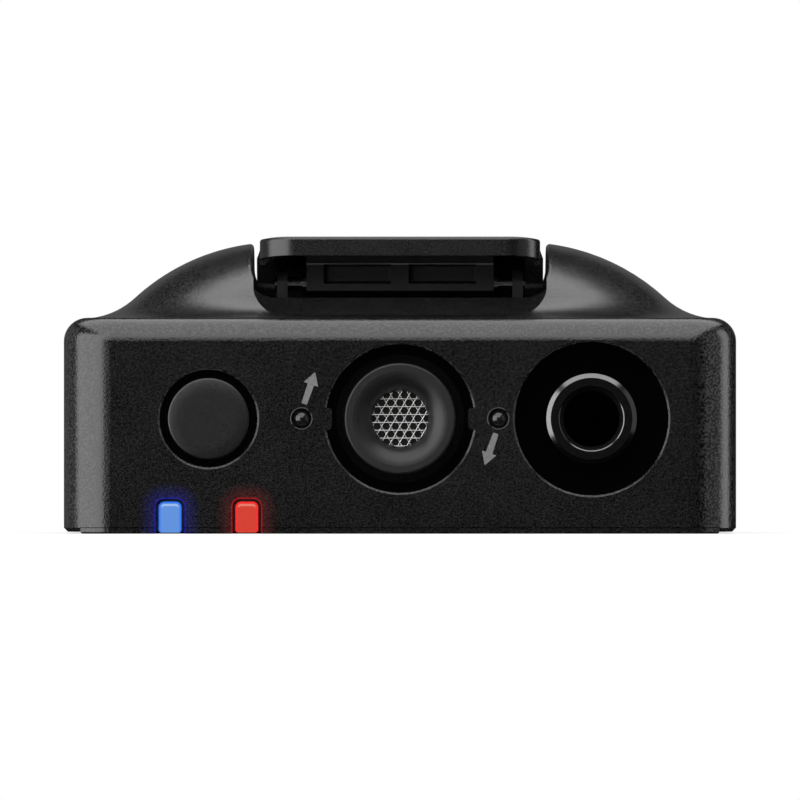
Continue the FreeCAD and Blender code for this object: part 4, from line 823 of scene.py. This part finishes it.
# Socket. A collar turned from brass and plated black, with an outside thread for the plug's
# locking nut, screwed into the moulded body of the socket with its three sprung contacts.
BORE = 1.8 * MM
BORE_LIP = 2.04 * MM
LIP_EDGE = 0.06 * MM
CREST = 2.89 * MM
ROOT = 2.62 * MM
COLLAR_CHAMFER = 0.28 * MM
CHAMFER_DEPTH = 0.16 * MM
NECK = 2.35 * MM
THREAD_PITCH = 0.5 * MM
CREST_FLAT = 0.14 * THREAD_PITCH
ROOT_FROM = 0.5 * THREAD_PITCH
ROOT_TO = 0.62 * THREAD_PITCH
THREAD_TURNS = 7
COLLAR_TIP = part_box("jack_bushing")[0].y
COLLAR_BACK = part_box("jack_bushing")[1].y
THREAD_START = COLLAR_TIP + CHAMFER_DEPTH
LIP_DEPTH = 1.1 * MM
NECK_LENGTH = 0.4 * MM
FACET_ANGLE = math.radians(15)
crests = []
for turn in range(THREAD_TURNS):
    y = THREAD_START + turn * THREAD_PITCH
    crests += [(CREST, y), (CREST, y + CREST_FLAT), (ROOT, y + ROOT_FROM), (ROOT, y + ROOT_TO)]
thread_end = THREAD_START + THREAD_TURNS * THREAD_PITCH
collar = spun("socket_collar",
              [(BORE, COLLAR_BACK), (BORE, COLLAR_TIP + LIP_DEPTH), (BORE_LIP, COLLAR_TIP + LIP_DEPTH),
               (BORE_LIP, COLLAR_TIP + 0.6 * LIP_EDGE), (BORE_LIP + LIP_EDGE, COLLAR_TIP),
               (CREST - COLLAR_CHAMFER, COLLAR_TIP)]
              + crests
              + [(CREST, thread_end), (CREST, thread_end + CREST_FLAT),
                 (NECK, thread_end + NECK_LENGTH), (NECK, COLLAR_BACK), (BORE, COLLAR_BACK)],
              row_place("jack_bushing"), sides=96, smooth=FACET_ANGLE)
black_nickel = metal("black_nickel", (0.22, 0.22, 0.225), rough=0.17, stretch=EVEN,
                     size=0.1 * MM, depth=0.0006 * MM)
finish_piece(collar, black_nickel, "collar_metal", "housing", "jack_bushing")
dress(grained("socket_black_plastic", dark=0.003, pale=0.006, rough=0.5,
              size=0.08 * MM, height=0.003 * MM), "jack_body")
GOLD = (0.90, 0.66, 0.30)
dress(metal("gilt_bronze", GOLD, rough=0.25, stretch=EVEN, size=0.15 * MM, depth=0.001 * MM),
      "jack_contacts")


# Board parts. Four black-oxide screws hold the board. On it stand the radio's can of tinned
# steel and two chips in black epoxy. The antenna is an etched strip of amber film.
dress(metal("black_oxide_steel", (0.12, 0.12, 0.125), rough=0.35, stretch=EVEN,
            size=0.08 * MM, depth=0.001 * MM), "board_screws", "bracket_screws")
ROLLED_ALONG_Y = (1.0, 0.08, 1.0)
dress(metal("tinned_steel", (0.62, 0.62, 0.60), rough=0.35, stretch=ROLLED_ALONG_Y,
            size=0.1 * MM, depth=0.001 * MM), "radio_shield")
dress(grained("chip_epoxy", dark=0.012, pale=0.020, rough=0.5, size=0.04 * MM, height=0.002 * MM),
      "board_chips")
MEANDER_LENGTH = 1.6 * MM
MEANDER_PITCH = 0.7 * MM
MEANDER_LINE = 0.12 * MM
AMBER = (0.24, 0.10, 0.02, 1.0)
COPPER = (0.60, 0.26, 0.10, 1.0)
film, start, place = new_finish("amber_film")
meander = start.node("TexBrick", {}, {"Vector": place, "Scale": 1.0, "Brick Width": MEANDER_LENGTH,
                                      "Row Height": MEANDER_PITCH, "Mortar Size": MEANDER_LINE,
                                      "Mortar Smooth": 0.1}, "Fac")
close(start, {"Base Color": meander.mix(AMBER, COPPER),
              "Roughness": between(noise(place, size=MM), 0.3, 0.4)})
dress(film, "antenna")


# Battery. A flat pouch cell in crinkled foil, stuck down on black adhesive sheet, with a pad
# of black foam over it.
CRINKLE_SIZE = 1.2 * MM
CRINKLE_HEIGHT = 0.06 * MM
PORE_SIZE = 0.35 * MM
PORE_DEPTH = 0.05 * MM
PORE_EDGE = (0.1, 0.5)
pouch, start, place = new_finish("crinkled_foil")
crinkles = noise(place, CRINKLE_SIZE, detail=6.0)
close(start, {"Base Color": crinkles.mix(grey(0.55), grey(0.70)),
              "Roughness": between(crinkles, 0.25, 0.40),
              "Metallic": 1.0,
              "Normal": relief(crinkles, CRINKLE_HEIGHT)})
dress(pouch, "battery")
foam, start, place = new_finish("open_cell_foam")
pores = start.node("TexVoronoi", {}, {"Vector": place, "Scale": 1.0 / PORE_SIZE}, "Distance")
walls = ramp(pores, *PORE_EDGE)
close(start, {"Base Color": walls.mix(grey(0.006), grey(0.05)),
              "Roughness": between(walls, 0.75, 0.95),
              "Normal": relief(pores, PORE_DEPTH)})
dress(foam, "battery_foam", "battery_tape")


# Charging contacts. A moulded carrier in the far end holds three gold-plated pads, each worn
# bright where a charging pin presses.
CONTACT_PITCH = 3.2 * MM
CONTACT_HEIGHT = 5.9 * MM
WORN_RADIUS = (0.1 * MM, 0.5 * MM)
WORN_GOLD = (0.86, 0.74, 0.46)
dress(grained("carrier_black_plastic", dark=0.003, pale=0.010, rough=0.3,
              size=SAND_SIZE, height=0.004 * MM, shine=0.6), "charge_block")
plating, start, place = new_finish("worn_gold_plating")
x, y, z = axes(place)
nearest = (x * (1.0 / CONTACT_PITCH)).math("ROUND") * CONTACT_PITCH
side = x - nearest
up = z - CONTACT_HEIGHT
away = (side * side + up * up).math("SQRT")
worn = 1.0 - ramp(away, *WORN_RADIUS)
grains = noise(place, size=0.08 * MM)
close(start, {"Base Color": worn.mix((*GOLD, 1.0), (*WORN_GOLD, 1.0)),
              "Roughness": between(grains, 0.30, 0.38) - worn * 0.05,
              "Metallic": 1.0})
dress(plating, "charge_contacts")


# Hinge. A bracket of black-plated sheet steel is screwed into the trench of the channel. Its
# two lugs and two retaining rings hold a ground steel axle, with a torsion spring at each side.
GROUND_ROUND_X = (1.0, 0.04, 0.04)
DRAWN_ALONG_X = (0.2, 1.0, 1.0)
dress(grained("plated_black_steel", dark=0.010, pale=0.018, rough=0.32,
              size=0.06 * MM, height=0.002 * MM, shine=0.7), "hinge_bracket")
dress(metal("ground_steel", (0.42, 0.42, 0.42), rough=0.22, stretch=GROUND_ROUND_X,
            size=0.03 * MM, depth=0.0008 * MM), "clip_axle")

# The springs wind up as the clip opens: one leg of each stays on the bracket and the other
# follows the barrel. Each is a copy of its node, with its points merged and shaded smooth.
COIL_START = 1.2 * MM
COIL_END = 2.5 * MM
spring_steel = metal("spring_steel", (0.40, 0.40, 0.41), rough=0.28, stretch=DRAWN_ALONG_X,
                     size=0.05 * MM, depth=0.0008 * MM)
for side, node in ((-1.0, "clip_spring_left"), (1.0, "clip_spring_right")):
    spring = twin(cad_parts[node], node.replace("clip", "wound"))
    for key in list(spring.keys()):  # what the node says of itself doesn't go with its copy
        del spring[key]
    spring.parent = None
    in_edit(spring, lambda co: True)
    bpy.ops.mesh.remove_doubles(threshold=0.001 * MM)
    settle(spring)
    bpy.ops.object.shade_smooth_by_angle(angle=math.radians(62))
    spring.data.materials.clear()
    spring.data.materials.append(spring_steel)
    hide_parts(node)
    side * COIL_START
    side * COIL_END
    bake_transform(spring)


# Hinge barrel. A separate block of black acetal, snapped under the clip plate. It turns on the
# axle and has three ribs round the two spring pockets. A pale line of painted highlight runs
# along its front ledge.
LEDGE = 17.27 * MM
LEDGE_HIGHLIGHT_BAND = (0.024 * MM, 0.06 * MM)
acetal, start, place = new_finish("hinge_black_plastic")
x, y, z = axes(place)
grains = noise(place, size=0.07 * MM)
# painted highlight: a pale line of colour along the front ledge
painted_ledge_line = 1.0 - ramp((z - LEDGE).math("ABSOLUTE"), *LEDGE_HIGHLIGHT_BAND)
close(start, {"Base Color": painted_ledge_line.mix(grains.mix(grey(0.002), grey(0.005)), grey(0.10)),
              "Roughness": between(grains, 0.36, 0.41),
              "Normal": relief(grains, depth=0.002 * MM)})
dress(acetal, "clip_barrel")


# Clip lever. One moulded plate of satin black plastic with its press tab, side skirts, cheeks
# and the curved jaw, smoother than the housing from handling.
dress(grained("satin_black_plastic", dark=0.002, pale=0.005, rough=0.28,
              size=0.09 * MM, height=0.003 * MM, shine=PLASTIC_SHINE), "clip_lever")


# Clip pad. A moulded strip of black rubber with cross ribs, glued to the bed of the channel
# under the jaw, so that the cloth doesn't slip.
GROOVE_PITCH = 0.9 * MM
GROOVE_FLOOR = 0.18 * MM
GROOVE_MOUTH = 0.26 * MM
GROOVE_DEPTH = 0.12 * MM
PAD_EDGE = 0.05 * MM
low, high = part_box("clip_pad")
pad = stretched("ribbed_clip_pad", CUBE, (low + high) / 2, high - low)
groove_middles = [(low.y + high.y) / 2 + i * GROOVE_PITCH for i in (-2, -1, 0, 1, 2)]
for middle in groove_middles:
    for away in (-GROOVE_MOUTH, -GROOVE_FLOOR, GROOVE_FLOOR, GROOVE_MOUTH):
        in_edit(pad, lambda co: True)
        bpy.ops.mesh.bisect(plane_co=(0.0, middle + away, 0.0), plane_no=(0.0, 1.0, 0.0))
        bpy.ops.object.mode_set(mode="OBJECT")
in_edit(pad, lambda co: co.z > high.z - NEAR
        and any(abs(co.y - middle) < (GROOVE_FLOOR + GROOVE_MOUTH) / 2 for middle in groove_middles))
bpy.ops.transform.translate(value=(0.0, 0.0, -GROOVE_DEPTH))
settle(pad)
modify(pad, "BEVEL", width=PAD_EDGE, segments=2, limit_method="ANGLE", angle_limit=math.radians(40))
bpy.ops.object.shade_smooth_by_angle(angle=SMOOTH_ANGLE)
pad_rubber = grained("pad_black_rubber", dark=0.008, pale=0.016, rough=0.55,
                     size=RUBBER_GRAIN, height=0.004 * MM)
finish_piece(pad, pad_rubber, "pad_rubber", "housing", "clip_pad")
